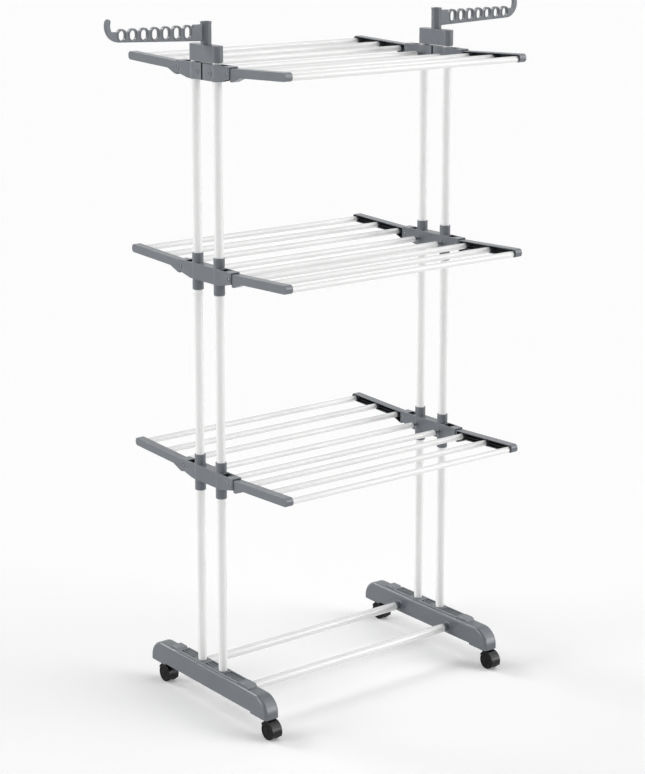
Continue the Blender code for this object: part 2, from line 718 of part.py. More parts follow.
def wheels_mesh():
    """Two wheels on one axle along X, about the axle's middle, each with a flat at its lowest."""
    near = WEB_WIDTH / 2 + WHEEL_CLEARANCE / 2
    far = near + WHEEL_WIDTH
    flat_down = Matrix.Rotation(math.pi / WHEEL_SIDES, 4, "X")
    wheels = [rod((side * near, 0, 0), (side * far, 0, 0), wheel_reach, WHEEL_SIDES) for side in (-1, 1)]
    for wheel in wheels:
        wheel.transform(flat_down)
    axle = rod((-near - SEAT, 0, 0), (near + SEAT, 0, 0), AXLE_RADIUS, PIN_SIDES)
    return worked("wheels", axle, [add(group(wheels))])


def build_base():
    """Feet, base rods and casters."""
    mesh = foot_mesh()
    length = TOWER_SPACING - FOOT_WIDTH - 2 * (BASE_PEG_COLLAR + GAP)
    rod_mesh = tube(length, BASE_ROD_OD / 2, base_bore, POLE_SIDES)
    swivel_mesh, wheel_mesh = caster_body_mesh(), wheels_mesh()
    for name, side in SIDES.items():
        put(f"foot_{name}", mesh, "grey_plastic", (side * tower_x, 0, 0), (0, 0, facing(side)))
        for end, way in ENDS.items():
            place = (side * tower_x, way * caster_y, 0)
            swivel = put(f"caster_{end}_{name}_hood", swivel_mesh, "black_plastic", place)
            put(f"caster_{end}_{name}_wheels", wheel_mesh, "black_wheel",
                (0, -CASTER_TRAIL, wheel_radius), parent=swivel)
    for end, way in ENDS.items():
        put(f"base_rod_{end}", rod_mesh, "white_steel",
            (0, way * BASE_ROD_SPREAD / 2, foot_bottom + BASE_ROD_RISE))


def facing(side):
    """Turn about Z for a piece modelled on the left: a right one is turned half way round."""
    return 0 if side < 0 else math.pi


def build_towers():
    """Masts, hubs and the middle bars of each tier."""
    mast, hub = mast_mesh(), hub_mesh(SLEEVE_TOP, SLEEVE_DROP)
    top_hub = hub_mesh(HUB_RISE + TOP_SLEEVE_LIP, HUB_DROP + TOP_SLEEVE_LIP)
    bar = tube(TOWER_SPACING - 2 * (MIDDLE_BAR_INSET + GAP), BAR_OD / 2, bar_bore, BAR_SIDES)
    for name, side in SIDES.items():
        put(f"mast_{name}", mast, "white_steel", (side * tower_x, 0, 0))
        for tier, height in tiers.items():
            put(f"hub_{tier}_{name}", top_hub if tier == "upper" else hub, "grey_plastic",
                (side * tower_x, 0, height), (0, 0, facing(side)))
    for tier, height in tiers.items():
        for end, way in ENDS.items():
            put(f"middle_bar_{tier}_{end}", bar, "white_steel", (0, way * pole_y, height))


def build_wings():
    """Six wings, each two brackets and its bars, on an empty at its pivot."""
    brackets = {side: bracket_mesh(side) for side in SIDES.values()}
    bar = tube(TOWER_SPACING - 2 * WING_BAR_INSET, BAR_OD / 2, bar_bore, BAR_SIDES)
    for tier, height in tiers.items():
        for end, way in ENDS.items():
            wing = axis_empty(f"wing_{tier}_{end}_axis", (0, way * pivot_y, height + PIVOT_RISE),
                              (WING_TILT, 0, 0 if way > 0 else math.pi))
            for name, side in SIDES.items():
                put(f"wing_{tier}_{end}_bracket_{name}", brackets[side * way], "grey_plastic", parent=wing)
            for number in range(BARS_PER_WING):
                put(f"wing_{tier}_{end}_bar_{number + 1}", bar, "white_steel",
                    (0, FIRST_BAR_REACH + number * BAR_PITCH, 0), parent=wing)


def build_top():
    """Top blocks and the hook arms, which swing about the blocks' pegs."""
    block, arm = block_mesh(), arm_mesh()
    for name, side in SIDES.items():
        put(f"top_block_{name}", block, "grey_plastic", (side * tower_x, 0, 0))
        put(f"hook_arm_{name}", arm, "grey_plastic", (side * tower_x, 0, arm_bottom),
            (0, 0, facing(-side)))


parts, cutters = start_scene()
build_base()
build_towers()
build_wings()
build_top()
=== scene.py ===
"""The finished look of a vertical clothes drying rack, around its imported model.

Lengths are metres. X runs along the bars, Y to the back and Z up, from the floor under the middle.
"""

import json
import math

import bmesh
import bpy
from bpy.props import FloatProperty, FloatVectorProperty, PointerProperty
from mathutils import Matrix, Vector


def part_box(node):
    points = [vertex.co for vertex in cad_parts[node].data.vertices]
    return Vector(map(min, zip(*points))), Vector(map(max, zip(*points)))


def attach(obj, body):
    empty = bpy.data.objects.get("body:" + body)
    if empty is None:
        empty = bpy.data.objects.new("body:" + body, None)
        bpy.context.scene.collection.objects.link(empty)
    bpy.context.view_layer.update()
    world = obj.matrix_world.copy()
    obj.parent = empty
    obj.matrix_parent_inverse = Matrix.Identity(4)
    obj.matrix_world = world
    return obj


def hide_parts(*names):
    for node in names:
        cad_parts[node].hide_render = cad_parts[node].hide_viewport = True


bl_info = {
    "name": "Clothes Drying Rack",
    "version": (1, 0, 0),
    "blender": (4, 5, 0),
    "location": "View3D > Sidebar > Drying Rack",
    "description": "Builds the tubes, moulded fittings, casters and stage of a drying rack",
    "category": "Add Mesh",
}

IMAGE_SIZE = (645, 774)
SENSOR_WIDTH = 36.0

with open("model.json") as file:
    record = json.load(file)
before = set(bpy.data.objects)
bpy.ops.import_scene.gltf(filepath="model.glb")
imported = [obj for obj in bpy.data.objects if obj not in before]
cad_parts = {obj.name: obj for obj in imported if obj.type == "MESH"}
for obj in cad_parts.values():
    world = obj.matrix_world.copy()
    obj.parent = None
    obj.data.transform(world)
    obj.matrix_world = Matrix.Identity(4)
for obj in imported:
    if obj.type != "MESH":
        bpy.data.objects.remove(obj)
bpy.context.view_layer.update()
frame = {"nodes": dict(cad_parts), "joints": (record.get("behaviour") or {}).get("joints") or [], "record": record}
body_of_node = {node: body for body, nodes in frame["record"]["behaviour"]["bodies"].items()
                for node in nodes}

SIDES = {"left": -1, "right": 1}
ENDS = {"front": -1, "back": 1}
TIERS = ("lower", "middle", "upper")

# Steps of round shapes
TUBE_SIDES = 40
ROUND_SIDES = 48
PIN_SIDES = 24
RIM_STEPS = 4
BEND_STEPS = 12
FOOT_EDGE_STEPS = 8
FOOT_END_STEPS = 18
TIP_STEPS = 8
HOLE_STEPS = 20
CURL_STEPS = 32
HOOD_STEPS = 40

# Limits and clearances
MERGE = 0.00001         # within which two points become one
SHARP_ANGLE = math.radians(32)  # from which an edge is rounded
FLAT_ANGLE = math.radians(1)    # below which two faces are one
PLAY = 0.0003           # between two pieces that touch

# Tubes
POLE_WALL = 0.0005
BAR_WALL = 0.0004
POLE_BEND = 0.020
CAP_SHOW = 0.0035       # length of a bar's cap that shows beyond its rounded end
CAP_SEAM_DEPTH = 0.00025
NECK_HOLE_RADIUS = 0.0034

# Feet
FOOT_WIDTH = 0.041
FOOT_HEIGHT = 0.0525
FOOT_WALL = 0.003
FOOT_END_RADIUS = 0.044
FOOT_EDGE = 0.008
FOOT_RIB = 0.003
ARCH_LENGTH = 0.368
ARCH_RISE = 0.004
SOCKET_WALL = 0.003
SOCKET_FLOOR = 0.004
DECK_LENGTH = 0.262
DECK_WIDTH = 0.033
DECK_RISE = 0.0049
DECK_SLOPE = 0.004
DECK_EDGE = 0.0012
TRAY_START = 0.063
TRAY_LENGTH = 0.058
TRAY_WIDTH = 0.022
TRAY_DEPTH = 0.0030
MIDDLE_TRAY_LENGTH = 0.034
GRIP_WIDTH = 0.0036     # of a rib in a tray
GRIP_DEPTH = 0.0003     # of its top below the deck
GRIP_COUNT = 2
PAD_LENGTH = 0.042
PAD_LAP = 0.005
PAD_WIDTH = 0.029
PAD_RISE = 0.0028
PAD_SLOPE = 0.008
PAD_EDGE = 0.0018
POLE_RIM_RADIUS = 0.0132    # raised ring round a pole's socket
POLE_RIM_HEIGHT = 0.0008
POLE_GAP = 0.0011        # of the countersink round a pole
POLE_GAP_DEPTH = 0.003
COLLAR_RADIUS = 0.011   # peg between a foot and a base rod
COLLAR_FLARE_RADIUS = 0.0145
SPIGOT_LENGTH = 0.025
SPIGOT_PLAY = 0.001
STEM_RADIUS = 0.005
STEM_LENGTH = 0.028

# Hubs
HUB_WIDTH = 0.026
HUB_RISE = 0.022
HUB_DROP = 0.017
HUB_END_DROP = 0.006
HUB_WALL = 0.0025
HUB_EDGE = 0.001
ROOF_THICKNESS = 0.0024
ROOF_LENGTH = 0.0235
SLEEVE_OD = 0.027
SLEEVE_TOP = 0.0465
SLEEVE_DROP = 0.043
SLEEVE_RIM = 0.0009
TOP_SLEEVE_LIP = 0.0005
CORE_WALL = 0.004
NECK_RADIUS = 0.003
NECK_ROOT_RADIUS = 0.0052
NECK_ROOT_LENGTH = 0.003
SLOT_WIDTH = 0.0055     # upright slot in an upper hub's faces
SLOT_DEPTH = 0.004

# Wing brackets
WING_TILT = math.radians(2.16)
PIVOT_RISE = 0.0056
PIVOT_RADIUS = 0.003
FIRST_BAR_REACH = 0.031
BAR_PITCH = 0.0875
BEAM_HEIGHT = 0.0205
BEAM_WALL = 0.0025
BEAM_EDGE = 0.001
BEAM_TIP = 0.0125
BEAM_TIP_RADIUS = 0.0085
BEAM_RIB = 0.002
BEAM_RIB_RECESS = 0.004
ROOF_CLEARANCE = 0.0015
STOP_LENGTH = 0.004
STOP_WIDTH = 0.012
GUSSET_INSET = 0.007
GUSSET_DROP = 0.0105
TAIL_SOLID = 0.006
GUSSET_FLAT = 0.003
GUSSET_SLOPE = 0.031
END_COLLAR_RADIUS = 0.0079  # round the end of a wing bar
END_COLLAR_RIM = 0.0006
PLUG_LENGTH = 0.016
PLUG_PLAY = 0.0008
TRUNNION_DEPTH = 0.002

# Top blocks and hook arms
BLOCK_WALL = 0.0025
BLOCK_ROOF = 0.004
BLOCK_EDGE = 0.0009
PEG_RADIUS = 0.0105
PEG_RIM = 0.0012
PEG_BORE_RADIUS = 0.0065
PEG_BORE_DEPTH = 0.012
ARM_SEAT_RADIUS = 0.0122
ARM_SLEEVE_OD = 0.0255
ARM_SLEEVE_WALL = 0.0019
ARM_SLEEVE_HEIGHT = 0.0525
ARM_RIM_OD = 0.028
ARM_RIM_HEIGHT = 0.003
ARM_RIM_EDGE = 0.0006
ARM_WEB = 0.0086
ARM_EDGE = 0.0016
ARM_BEAD = 0.0112
ARM_BEAD_EDGE = 0.0016
ARM_BEAD_WIDTH = 0.0042
ARM_ROOT_LOW = 0.008
ARM_ROOT_HEIGHT = 0.0385
HOLE_COUNT = 7
FIRST_HOLE = 0.052
HOLE_PITCH = 0.0295
HOLE_WIDTH = 0.0176
ARM_DIP = 0.003         # of the web's top between two holes, below the holes' top
FIRST_HOLE_HEIGHT = 0.0262
LAST_HOLE_HEIGHT = 0.0215
HOLE_AXIS_RISE = 0.0297
HOLE_CLIMB = 0.002
HOOK_RADIUS = 0.037
HOOK_THICKNESS = 0.013
HOOK_CURL = math.radians(108)
HOOK_OFFSET = 0.006
HOOK_INNER_END = math.radians(-32)

# Casters
HOOD_RADIUS = 0.0249
HOOD_BORE = 0.0228
HOOD_EDGE = 0.0009
HOOD_FRONT = math.radians(24)
HOOD_BACK = math.radians(207)
WEB_DROP = math.radians(16)
WEB_WIDTH = 0.0032
WEB_EDGE = 0.0008
WHEEL_GAP = 0.0005      # between a wheel and the hood's middle web
WHEEL_WIDTH = 0.01215
WHEEL_SHOULDER = 0.0018
INNER_SHOULDER = 0.0048 # of the side towards the other wheel
WHEEL_RIM = 0.0180      # outer radius of the recess in a wheel's face
WHEEL_HUB = 0.0072
WHEEL_RECESS = 0.0013
WHEEL_CAP = 0.0046
SPOKE_COUNT = 8
SPOKE_WIDTH = 0.0016
AXLE_RADIUS = 0.003
SWIVEL_BOSS_RADIUS = 0.010
SWIVEL_BOSS_HEIGHT = 0.006
SWIVEL_COLLAR_RADIUS = 0.0075
SWIVEL_COLLAR_HEIGHT = 0.001

# Screws and rivets
RIVET_RADIUS = 0.0034
RIVET_HEIGHT = 0.0008
SCREW_RADIUS = 0.0032
SCREW_HEIGHT = 0.0009
SCREW_SLOT = 0.0009
RING_RADIUS = 0.0063    # moulded ring round a head
RING_WIDTH = 0.0022
RING_HEIGHT = 0.0013
SCREW_PLACES = ((-0.033, 0.0005), (0.018, 0.0015))  # along Y and above the bars, on upper hubs
POST_SCREW_RISE = 0.0275    # above the end of a hook arm's sleeve

# Scales of the patterns in the finishes, and where in their noise a pattern starts and is full
WAVE_SCALE = 28.0
TONE_SCALE = 11.0
PATCH_SCALE = 60.0
SCRATCH_SCALE = 420.0
PATCH_RANGE = (0.35, 0.65)
UPWARD_RANGE = (0.55, 1.0)
SPECK_RANGE = (0.45, 0.75)
BLOTCH_RANGE = (0.3, 0.7)
SCRATCH_RANGE = (0.66, 0.74)
SHADE_RANGE = (0.35, 0.65)

# Stage
FLOOR_RADIUS = 60.0
FLOOR_LIFT = 0.092      # that brings the floor to the backdrop's white where the camera sees it
LIGHTS = {              # where each soft light stands, and how many degrees wide it is
    "left": ((-0.922, 0.387, 0.22), 30),
    "right": ((0.60, -0.79, 0.08), 36),
    "upper": ((0.60, -0.62, 0.50), 36),
    "top": ((0.45, -0.15, 0.87), 50),
    "back": ((-0.25, 0.75, 0.60), 20),
}


def middle(node):
    """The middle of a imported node's box."""
    low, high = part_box(node)
    return (low + high) / 2


def extent(node):
    """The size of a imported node's box along each axis."""
    low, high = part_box(node)
    return high - low


# ---- settings


class RackSizes(bpy.types.PropertyGroup):
    """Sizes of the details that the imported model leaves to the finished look."""

    edge_radius: FloatProperty(
        name="Edge radius", description="Rounding of the edges of moulded fittings",
        default=0.0005, min=0.0001, max=0.002, unit="LENGTH", precision=5)
    rod_end_radius: FloatProperty(
        name="Base rod end radius", description="Rounding of the rolled ends of the base rods",
        default=0.0009, min=0.0005, max=0.002, unit="LENGTH", precision=5)
    bar_end_radius: FloatProperty(
        name="Wing bar end radius", description="Rounding of the rolled ends of the wing bars",
        default=0.0005, min=0.0004, max=0.001, unit="LENGTH", precision=5)
    cap_radius: FloatProperty(
        name="Cap radius", description="Rounding of the closed end of a middle bar",
        default=0.002, min=0.0005, max=0.004, unit="LENGTH", precision=4)


class RackColours(bpy.types.PropertyGroup):
    """Colours of the rack's finishes and of the stage, in linear light."""

    grey_plastic: FloatVectorProperty(
        name="Grey plastic", description="Hubs, brackets, feet, blocks and hook arms",
        default=(0.110, 0.121, 0.137), size=3, min=0, max=1, subtype="COLOR")
    # Painted shade: a near-black grey laid inside channels, sockets, slots and hollows, where shade falls
    inner_grey: FloatVectorProperty(
        name="Inner grey", description="Unpolished insides of the fittings' channels",
        default=(0.016, 0.017, 0.019), size=3, min=0, max=1, subtype="COLOR")
    white_coat: FloatVectorProperty(
        name="White coat", description="Powder coat of the poles and bars",
        default=(0.81, 0.81, 0.805), size=3, min=0, max=1, subtype="COLOR")
    black_plastic: FloatVectorProperty(
        name="Black plastic", description="Caster bodies",
        default=(0.006, 0.006, 0.007), size=3, min=0, max=1, subtype="COLOR")
    tyre_black: FloatVectorProperty(
        name="Tyre black", description="Caster wheels",
        default=(0.006, 0.006, 0.0065), size=3, min=0, max=1, subtype="COLOR")
    plated_steel: FloatVectorProperty(
        name="Plated steel", description="Rivets and screws",
        default=(0.24, 0.247, 0.25), size=3, min=0, max=1, subtype="COLOR")
    backdrop: FloatVectorProperty(
        name="Backdrop", description="Floor and background",
        default=(0.955, 0.955, 0.955), size=3, min=0, max=1, subtype="COLOR")


class StageSettings(bpy.types.PropertyGroup):
    """Camera and light."""

    focal_pixels: FloatProperty(
        name="Focal length", description="Focal length in pixels of the picture",
        default=2012.8, min=500, max=6000, subtype="PIXEL")
    shift_pixels: FloatProperty(
        name="Shift", description="Upright shift of the lens in pixels of the picture",
        default=-100.0, min=-400, max=400, subtype="PIXEL")
    camera_place: FloatVectorProperty(
        name="Camera", description="Where the camera stands",
        default=(-2.985, -3.831, 2.056), size=3, subtype="TRANSLATION", unit="LENGTH")
    azimuth: FloatProperty(
        name="Azimuth", description="Direction of the camera round the rack",
        default=math.radians(-37.83), unit="ROTATION")
    elevation: FloatProperty(
        name="Elevation", description="Height angle of the camera",
        default=math.radians(12.15), unit="ROTATION")
    roll: FloatProperty(
        name="Roll", description="Turn of the camera about its own axis",
        default=math.radians(0.07), unit="ROTATION")
    fill_strength: FloatProperty(
        name="Fill", description="Strength of the even light from all sides",
        default=0.40, min=0, max=3)
    left_strength: FloatProperty(
        name="Left light", description="Strength of the soft light on the camera's left",
        default=1.55, min=0, max=10)
    right_strength: FloatProperty(
        name="Right light", description="Strength of the soft light on the camera's right",
        default=1.35, min=0, max=10)
    upper_strength: FloatProperty(
        name="Upper light", description="Strength of the soft light above the right one",
        default=0.7, min=0, max=10)
    top_strength: FloatProperty(
        name="Top light", description="Strength of the soft light from above",
        default=0.6, min=0, max=10)
    back_strength: FloatProperty(
        name="Back light", description="Strength of the light from behind that draws the edges",
        default=0.9, min=0, max=10)


# ---- shader groups


def feed(tree, place, value):
    """Links a socket to a node's input, or gives the input a number, a vector or a colour."""
    if isinstance(value, bpy.types.NodeSocket):
        tree.links.new(value, place)
    else:
        place.default_value = (*value, 1.0) if place.type == "RGBA" else value


def set_values(inputs, values):
    """Gives a node's inputs their values, under names with underscores for spaces."""
    for title, value in values.items():
        inputs[title.replace("_", " ")].default_value = value


def new_group(name, inputs, outputs):
    """An empty shader group, the sockets of what it is given and those of what it puts out."""
    group = bpy.data.node_groups.new(name, "ShaderNodeTree")
    for title, value in inputs.items():
        kind = "NodeSocketVector" if isinstance(value, tuple) else "NodeSocketFloat"
        given = group.interface.new_socket(name=title, in_out="INPUT", socket_type=kind)
        given.default_value = value
    for title in outputs:
        group.interface.new_socket(name=title, in_out="OUTPUT", socket_type="NodeSocketFloat")
    given, made = group.nodes.new("NodeGroupInput"), group.nodes.new("NodeGroupOutput")
    return group, given.outputs, made.inputs


def noise(tree, vector, scale, detail=2.0, roughness=0.5):
    """A noise texture on a vector."""
    node = tree.nodes.new("ShaderNodeTexNoise")
    for name, value in (("Vector", vector), ("Scale", scale), ("Detail", detail),
                        ("Roughness", roughness)):
        feed(tree, node.inputs[name], value)
    return node.outputs["Fac"]


def maths(tree, operation, first, second):
    """A maths node on numbers or sockets."""
    node = tree.nodes.new("ShaderNodeMath")
    node.operation = operation
    for place, value in zip(node.inputs, (first, second)):
        feed(tree, place, value)
    return node.outputs[0]


def times(tree, first, second):
    """The product of numbers or sockets."""
    return maths(tree, "MULTIPLY", first, second)


def spread(tree, value, low, high, new_low=0.0, new_high=1.0):
    """A value's stretch between two limits, brought to two others and smoothed."""
    node = tree.nodes.new("ShaderNodeMapRange")
    node.interpolation_type = "SMOOTHSTEP"
    for name, number in (("Value", value), ("From Min", low), ("From Max", high),
                         ("To Min", new_low), ("To Max", new_high)):
        feed(tree, node.inputs[name], number)
    return node.outputs["Result"]


def object_place(tree):
    """Object coordinates, which stay with a piece when its joint moves."""
    return tree.nodes.new("ShaderNodeTexCoord").outputs["Object"]


def mould_grain():
    """The fine spark texture of a mould and the slow waves of shrinking plastic."""
    group, given, made = new_group(
        "mould_grain", {"Grain Scale": 900.0, "Grain": 1.0, "Waves": 1.0}, ("Height", "Tone"))
    place = object_place(group)
    fine = noise(group, place, given["Grain Scale"], detail=3.0, roughness=0.6)
    slow = noise(group, place, WAVE_SCALE, detail=1.0)
    grain, waves = times(group, fine, given["Grain"]), times(group, slow, given["Waves"])
    feed(group, made["Height"], maths(group, "ADD", grain, waves))
    feed(group, made["Tone"], noise(group, place, TONE_SCALE, detail=4.0, roughness=0.65))
    return group


def edge_wear():
    """Where a raised edge has been rubbed, and how much; the grey plastic also uses this mask for a painted
    highlight along its edges.
    """
    group, given, made = new_group(
        "edge_wear", {"Start": 0.52, "Full": 0.62, "Patchiness": 0.5}, ("Mask",))
    pointed = group.nodes.new("ShaderNodeNewGeometry").outputs["Pointiness"]
    edges = spread(group, pointed, given["Start"], given["Full"])
    clouds = noise(group, object_place(group), PATCH_SCALE, detail=4.0, roughness=0.6)
    patches = times(group, spread(group, clouds, *PATCH_RANGE), given["Patchiness"])
    kept = maths(group, "SUBTRACT", 1.0, given["Patchiness"])
    feed(group, made["Mask"], times(group, edges, maths(group, "ADD", patches, kept)))
    return group


def settled_dust():
    """Thin dust on faces that look up."""
    group, given, made = new_group("settled_dust", {"Amount": 0.3, "Scale": 130.0}, ("Mask",))
    parts = group.nodes.new("ShaderNodeSeparateXYZ")
    feed(group, parts.inputs[0], group.nodes.new("ShaderNodeTexCoord").outputs["Normal"])
    upward = spread(group, parts.outputs["Z"], *UPWARD_RANGE)
    clouds = noise(group, object_place(group), given["Scale"], detail=5.0, roughness=0.7)
    specks = times(group, upward, spread(group, clouds, *SPECK_RANGE))
    feed(group, made["Mask"], times(group, specks, given["Amount"]))
    return group


def handling_marks():
    """Smudges and fine rub marks that change the gloss."""
    group, given, made = new_group(
        "handling_marks", {"Scale": 18.0, "Depth": 1.0, "Lay": (1.0, 1.0, 0.08)},
        ("Gloss", "Scratches"))
    place = object_place(group)
    blotches = noise(group, place, given["Scale"], roughness=0.45)
    feed(group, made["Gloss"], spread(group, blotches, *BLOTCH_RANGE))
    drawn_out = group.nodes.new("ShaderNodeMapping")
    feed(group, drawn_out.inputs["Scale"], given["Lay"])
    feed(group, drawn_out.inputs["Vector"], place)
    lines = noise(group, drawn_out.outputs["Vector"], SCRATCH_SCALE, roughness=0.7)
    feed(group, made["Scratches"],
         times(group, spread(group, lines, *SCRATCH_RANGE), given["Depth"]))
    return group


GROUP_MAKERS = {"mould_grain": mould_grain, "edge_wear": edge_wear, "settled_dust": settled_dust,
                "handling_marks": handling_marks}


# ---- finishes


class Finish:
    """A Principled material in the making, with the colour that its layers have come to."""

    def __init__(self, name, base):
        self.material = bpy.data.materials.new(name)
        self.material.use_nodes = True
        self.tree = self.material.node_tree
        self.inputs = self.tree.nodes["Principled BSDF"].inputs
        self.base = self.colour = tuple(base)

    def group(self, name, **values):
        """A shared shader group with this finish's own values."""
        node = self.tree.nodes.new("ShaderNodeGroup")
        node.node_tree = bpy.data.node_groups.get(name) or GROUP_MAKERS[name]()
        set_values(node.inputs, values)
        return node.outputs

    def layer(self, share, over, strength=None):
        """Lays a colour over the present one, where the share is high."""
        if strength:
            share = times(self.tree, share, strength)
        node = self.tree.nodes.new("ShaderNodeMix")
        node.data_type = "RGBA"
        feed(self.tree, node.inputs["Factor"], share)
        for name, value in (("A", self.colour), ("B", over)):
            place = next(s for s in node.inputs if s.name == name and s.type == "RGBA")
            feed(self.tree, place, value)
        self.colour = next(s for s in node.outputs if s.type == "RGBA")

    def tint(self, factor):
        """The base colour made lighter or darker."""
        return tuple(min(1.0, channel * factor) for channel in self.base)

    def shade(self, share, low, high):
        """Varies the base colour between two factors."""
        self.colour = self.tint(low)
        self.layer(share, self.tint(high))

    def gloss(self, share, smooth, rough, limits=(0.0, 1.0)):
        """Varies the roughness between two values."""
        feed(self.tree, self.inputs["Roughness"], spread(self.tree, share, *limits, smooth, rough))

    def relief(self, height, distance, scratches=None):
        """A bump from a height, with scratches in it."""
        if scratches:
            height = maths(self.tree, "SUBTRACT", height, scratches)
        node = self.tree.nodes.new("ShaderNodeBump")
        set_values(node.inputs, {"Distance": distance, "Strength": 1.0})
        feed(self.tree, node.inputs["Height"], height)
        feed(self.tree, self.inputs["Normal"], node.outputs["Normal"])

    def done(self, **values):
        """The material, with what is even all over it on the shader's own sockets."""
        feed(self.tree, self.inputs["Base Color"], self.colour)
        set_values(self.inputs, values)
        return self.material


def grey_plastic(colours):
    """Moulded grey plastic with a fine grain, paler edges that are partly rubbed and partly a painted highlight,
    and a little dust.
    """
    work = Finish("grey_plastic", colours.grey_plastic)
    grain = work.group("mould_grain", Grain_Scale=1100.0, Grain=0.5, Waves=0.6)
    edge_mask = work.group("edge_wear", Start=0.505, Full=0.56, Patchiness=0.45)
    dust = work.group("settled_dust", Amount=0.06, Scale=160.0)
    marks = work.group("handling_marks", Scale=22.0, Depth=0.04)
    work.shade(spread(work.tree, grain["Tone"], *SHADE_RANGE), 0.97, 1.03)
    # paler convex edges: partly rubbing, partly a painted highlight along the edges
    work.layer(edge_mask["Mask"], work.tint(1.75), strength=0.55)
    work.layer(dust["Mask"], (0.42, 0.41, 0.39))
    work.gloss(marks["Gloss"], 0.28, 0.31)
    work.relief(grain["Height"], 0.00004, marks["Scratches"])
    return work.done(IOR=1.49, Specular_IOR_Level=0.65)


def inner_grey(colours):
    """Painted shade for the insides of the fittings' channels, sockets and slots: a dull, dark grey that stands
    for the shade in them.
    """
    work = Finish("inner_grey", colours.inner_grey)
    grain = work.group("mould_grain", Grain_Scale=700.0, Grain=1.6, Waves=1.0)
    work.shade(spread(work.tree, grain["Tone"], *BLOTCH_RANGE), 0.8, 1.35)
    work.gloss(grain["Tone"], 0.55, 0.70, BLOTCH_RANGE)
    work.relief(grain["Height"], 0.00005)
    return work.done(Specular_IOR_Level=0.25)


def white_coat(name, colours, lay):
    """White powder coat on steel tube, with the slight orange peel of a baked coat."""
    work = Finish(name, colours.white_coat)
    grain = work.group("mould_grain", Grain_Scale=420.0, Grain=0.8, Waves=0.0)
    marks = work.group("handling_marks", Scale=9.0, Depth=0.4, Lay=lay)
    dust = work.group("settled_dust", Amount=0.03, Scale=90.0)
    work.shade(spread(work.tree, grain["Tone"], *SHADE_RANGE), 0.985, 1.01)
    work.layer(marks["Scratches"], work.tint(0.8), strength=0.06)
    work.layer(dust["Mask"], (0.62, 0.60, 0.57))
    work.gloss(marks["Gloss"], 0.20, 0.27)
    work.relief(grain["Height"], 0.00003)
    return work.done(Coat_Weight=0.6, Coat_Roughness=0.12)


def white_poles(colours):
    """The coat of the upright poles, marked along them by the hubs."""
    return white_coat("white_poles", colours, (1.0, 1.0, 0.08))


def white_bars(colours):
    """The coat of the bars and base rods, marked along them by hangers."""
    return white_coat("white_bars", colours, (0.08, 1.0, 1.0))


def black_plastic(colours):
    """Glossy black plastic of the caster bodies."""
    work = Finish("black_plastic", colours.black_plastic)
    grain = work.group("mould_grain", Grain_Scale=900.0, Grain=0.5, Waves=1.0)
    edge_mask = work.group("edge_wear", Start=0.52, Full=0.62, Patchiness=0.7)
    dust = work.group("settled_dust", Amount=0.05, Scale=200.0)
    marks = work.group("handling_marks", Scale=40.0, Depth=0.8)
    work.layer(edge_mask["Mask"], (0.04, 0.04, 0.042), strength=0.5)
    work.layer(dust["Mask"], (0.23, 0.22, 0.20))
    work.gloss(marks["Gloss"], 0.24, 0.34)
    work.relief(grain["Height"], 0.00003, marks["Scratches"])
    return work.done(Specular_IOR_Level=0.3)


def tyre_black(colours):
    """Dull black of the wheels, greyed where they roll."""
    work = Finish("tyre_black", colours.tyre_black)
    grain = work.group("mould_grain", Grain_Scale=1300.0, Grain=1.4, Waves=0.6)
    edge_mask = work.group("edge_wear", Start=0.51, Full=0.58, Patchiness=0.8)
    marks = work.group("handling_marks", Scale=90.0, Depth=1.0)
    work.layer(edge_mask["Mask"], (0.05, 0.049, 0.047), strength=0.6)
    work.layer(marks["Gloss"], (0.03, 0.029, 0.027), strength=0.15)
    work.gloss(marks["Gloss"], 0.50, 0.66)
    work.relief(grain["Height"], 0.00005)
    return work.done(Specular_IOR_Level=0.12)


def plated_steel(colours):
    """Zinc-plated steel of rivets and screws."""
    work = Finish("plated_steel", colours.plated_steel)
    grain = work.group("mould_grain", Grain_Scale=1500.0, Grain=0.8, Waves=0.4)
    marks = work.group("handling_marks", Scale=260.0, Depth=1.0)
    work.shade(marks["Gloss"], 0.86, 1.06)
    work.gloss(marks["Gloss"], 0.42, 0.55)
    work.relief(grain["Height"], 0.00002)
    return work.done(Metallic=1.0)


FINISHES = {"grey_plastic": grey_plastic, "inner_grey": inner_grey, "white_poles": white_poles,
            "white_bars": white_bars, "black_plastic": black_plastic, "tyre_black": tyre_black,
            "plated_steel": plated_steel}


def finish(name):
    """A finish, made when it is first needed."""
    return bpy.data.materials.get(name) or FINISHES[name](bpy.context.scene.rack_colours)


# ---- mesh makers


def arc(centre, radius, start, end, steps):
    """Points along an arc, with angles in radians."""
    points = []
    for step in range(steps + 1):
        angle = start + (end - start) * step / steps
        points.append((centre[0] + radius * math.cos(angle), centre[1] + radius * math.sin(angle)))
    return points


def mesh_from(shape):
    """A mesh made of a bmesh, with its faces turned outwards."""
    bmesh.ops.recalc_face_normals(shape, faces=shape.faces)
    for face in shape.faces:
        face.smooth = True
    mesh = bpy.data.meshes.new("shape")
    shape.to_mesh(mesh)
    shape.free()
    return mesh


def loft(rings, closed=False):
    """A skin over rings of points: capped at both ends, or joined end to end."""
    shape = bmesh.new()
    rows = [[shape.verts.new(point) for point in ring] for ring in rings]
    count = len(rows[0])
    last = len(rows) if closed else len(rows) - 1
    for number in range(last):
        here, there = rows[number], rows[(number + 1) % len(rows)]
        for k in range(count):
            shape.faces.new((here[k], here[(k + 1) % count], there[(k + 1) % count], there[k]))
    if not closed:
        shape.faces.new(rows[0])
        shape.faces.new(rows[-1])
    return mesh_from(shape)


def turned(profile, sides, closed=False):
    """A turned shape about Z from a profile of radii and heights."""
    round_angles = [math.tau * k / sides for k in range(sides)]
    return loft([[(radius * math.cos(angle), radius * math.sin(angle), height)
                  for angle in round_angles] for radius, height in profile], closed)


def aimed(mesh, start, end):
    """The mesh moved so that its origin is at the start and its Z points to the end."""
    start, end = Vector(start), Vector(end)
    aim = (end - start).to_track_quat("Z", "Y").to_matrix().to_4x4()
    mesh.transform(Matrix.Translation(start) @ aim)
    return mesh


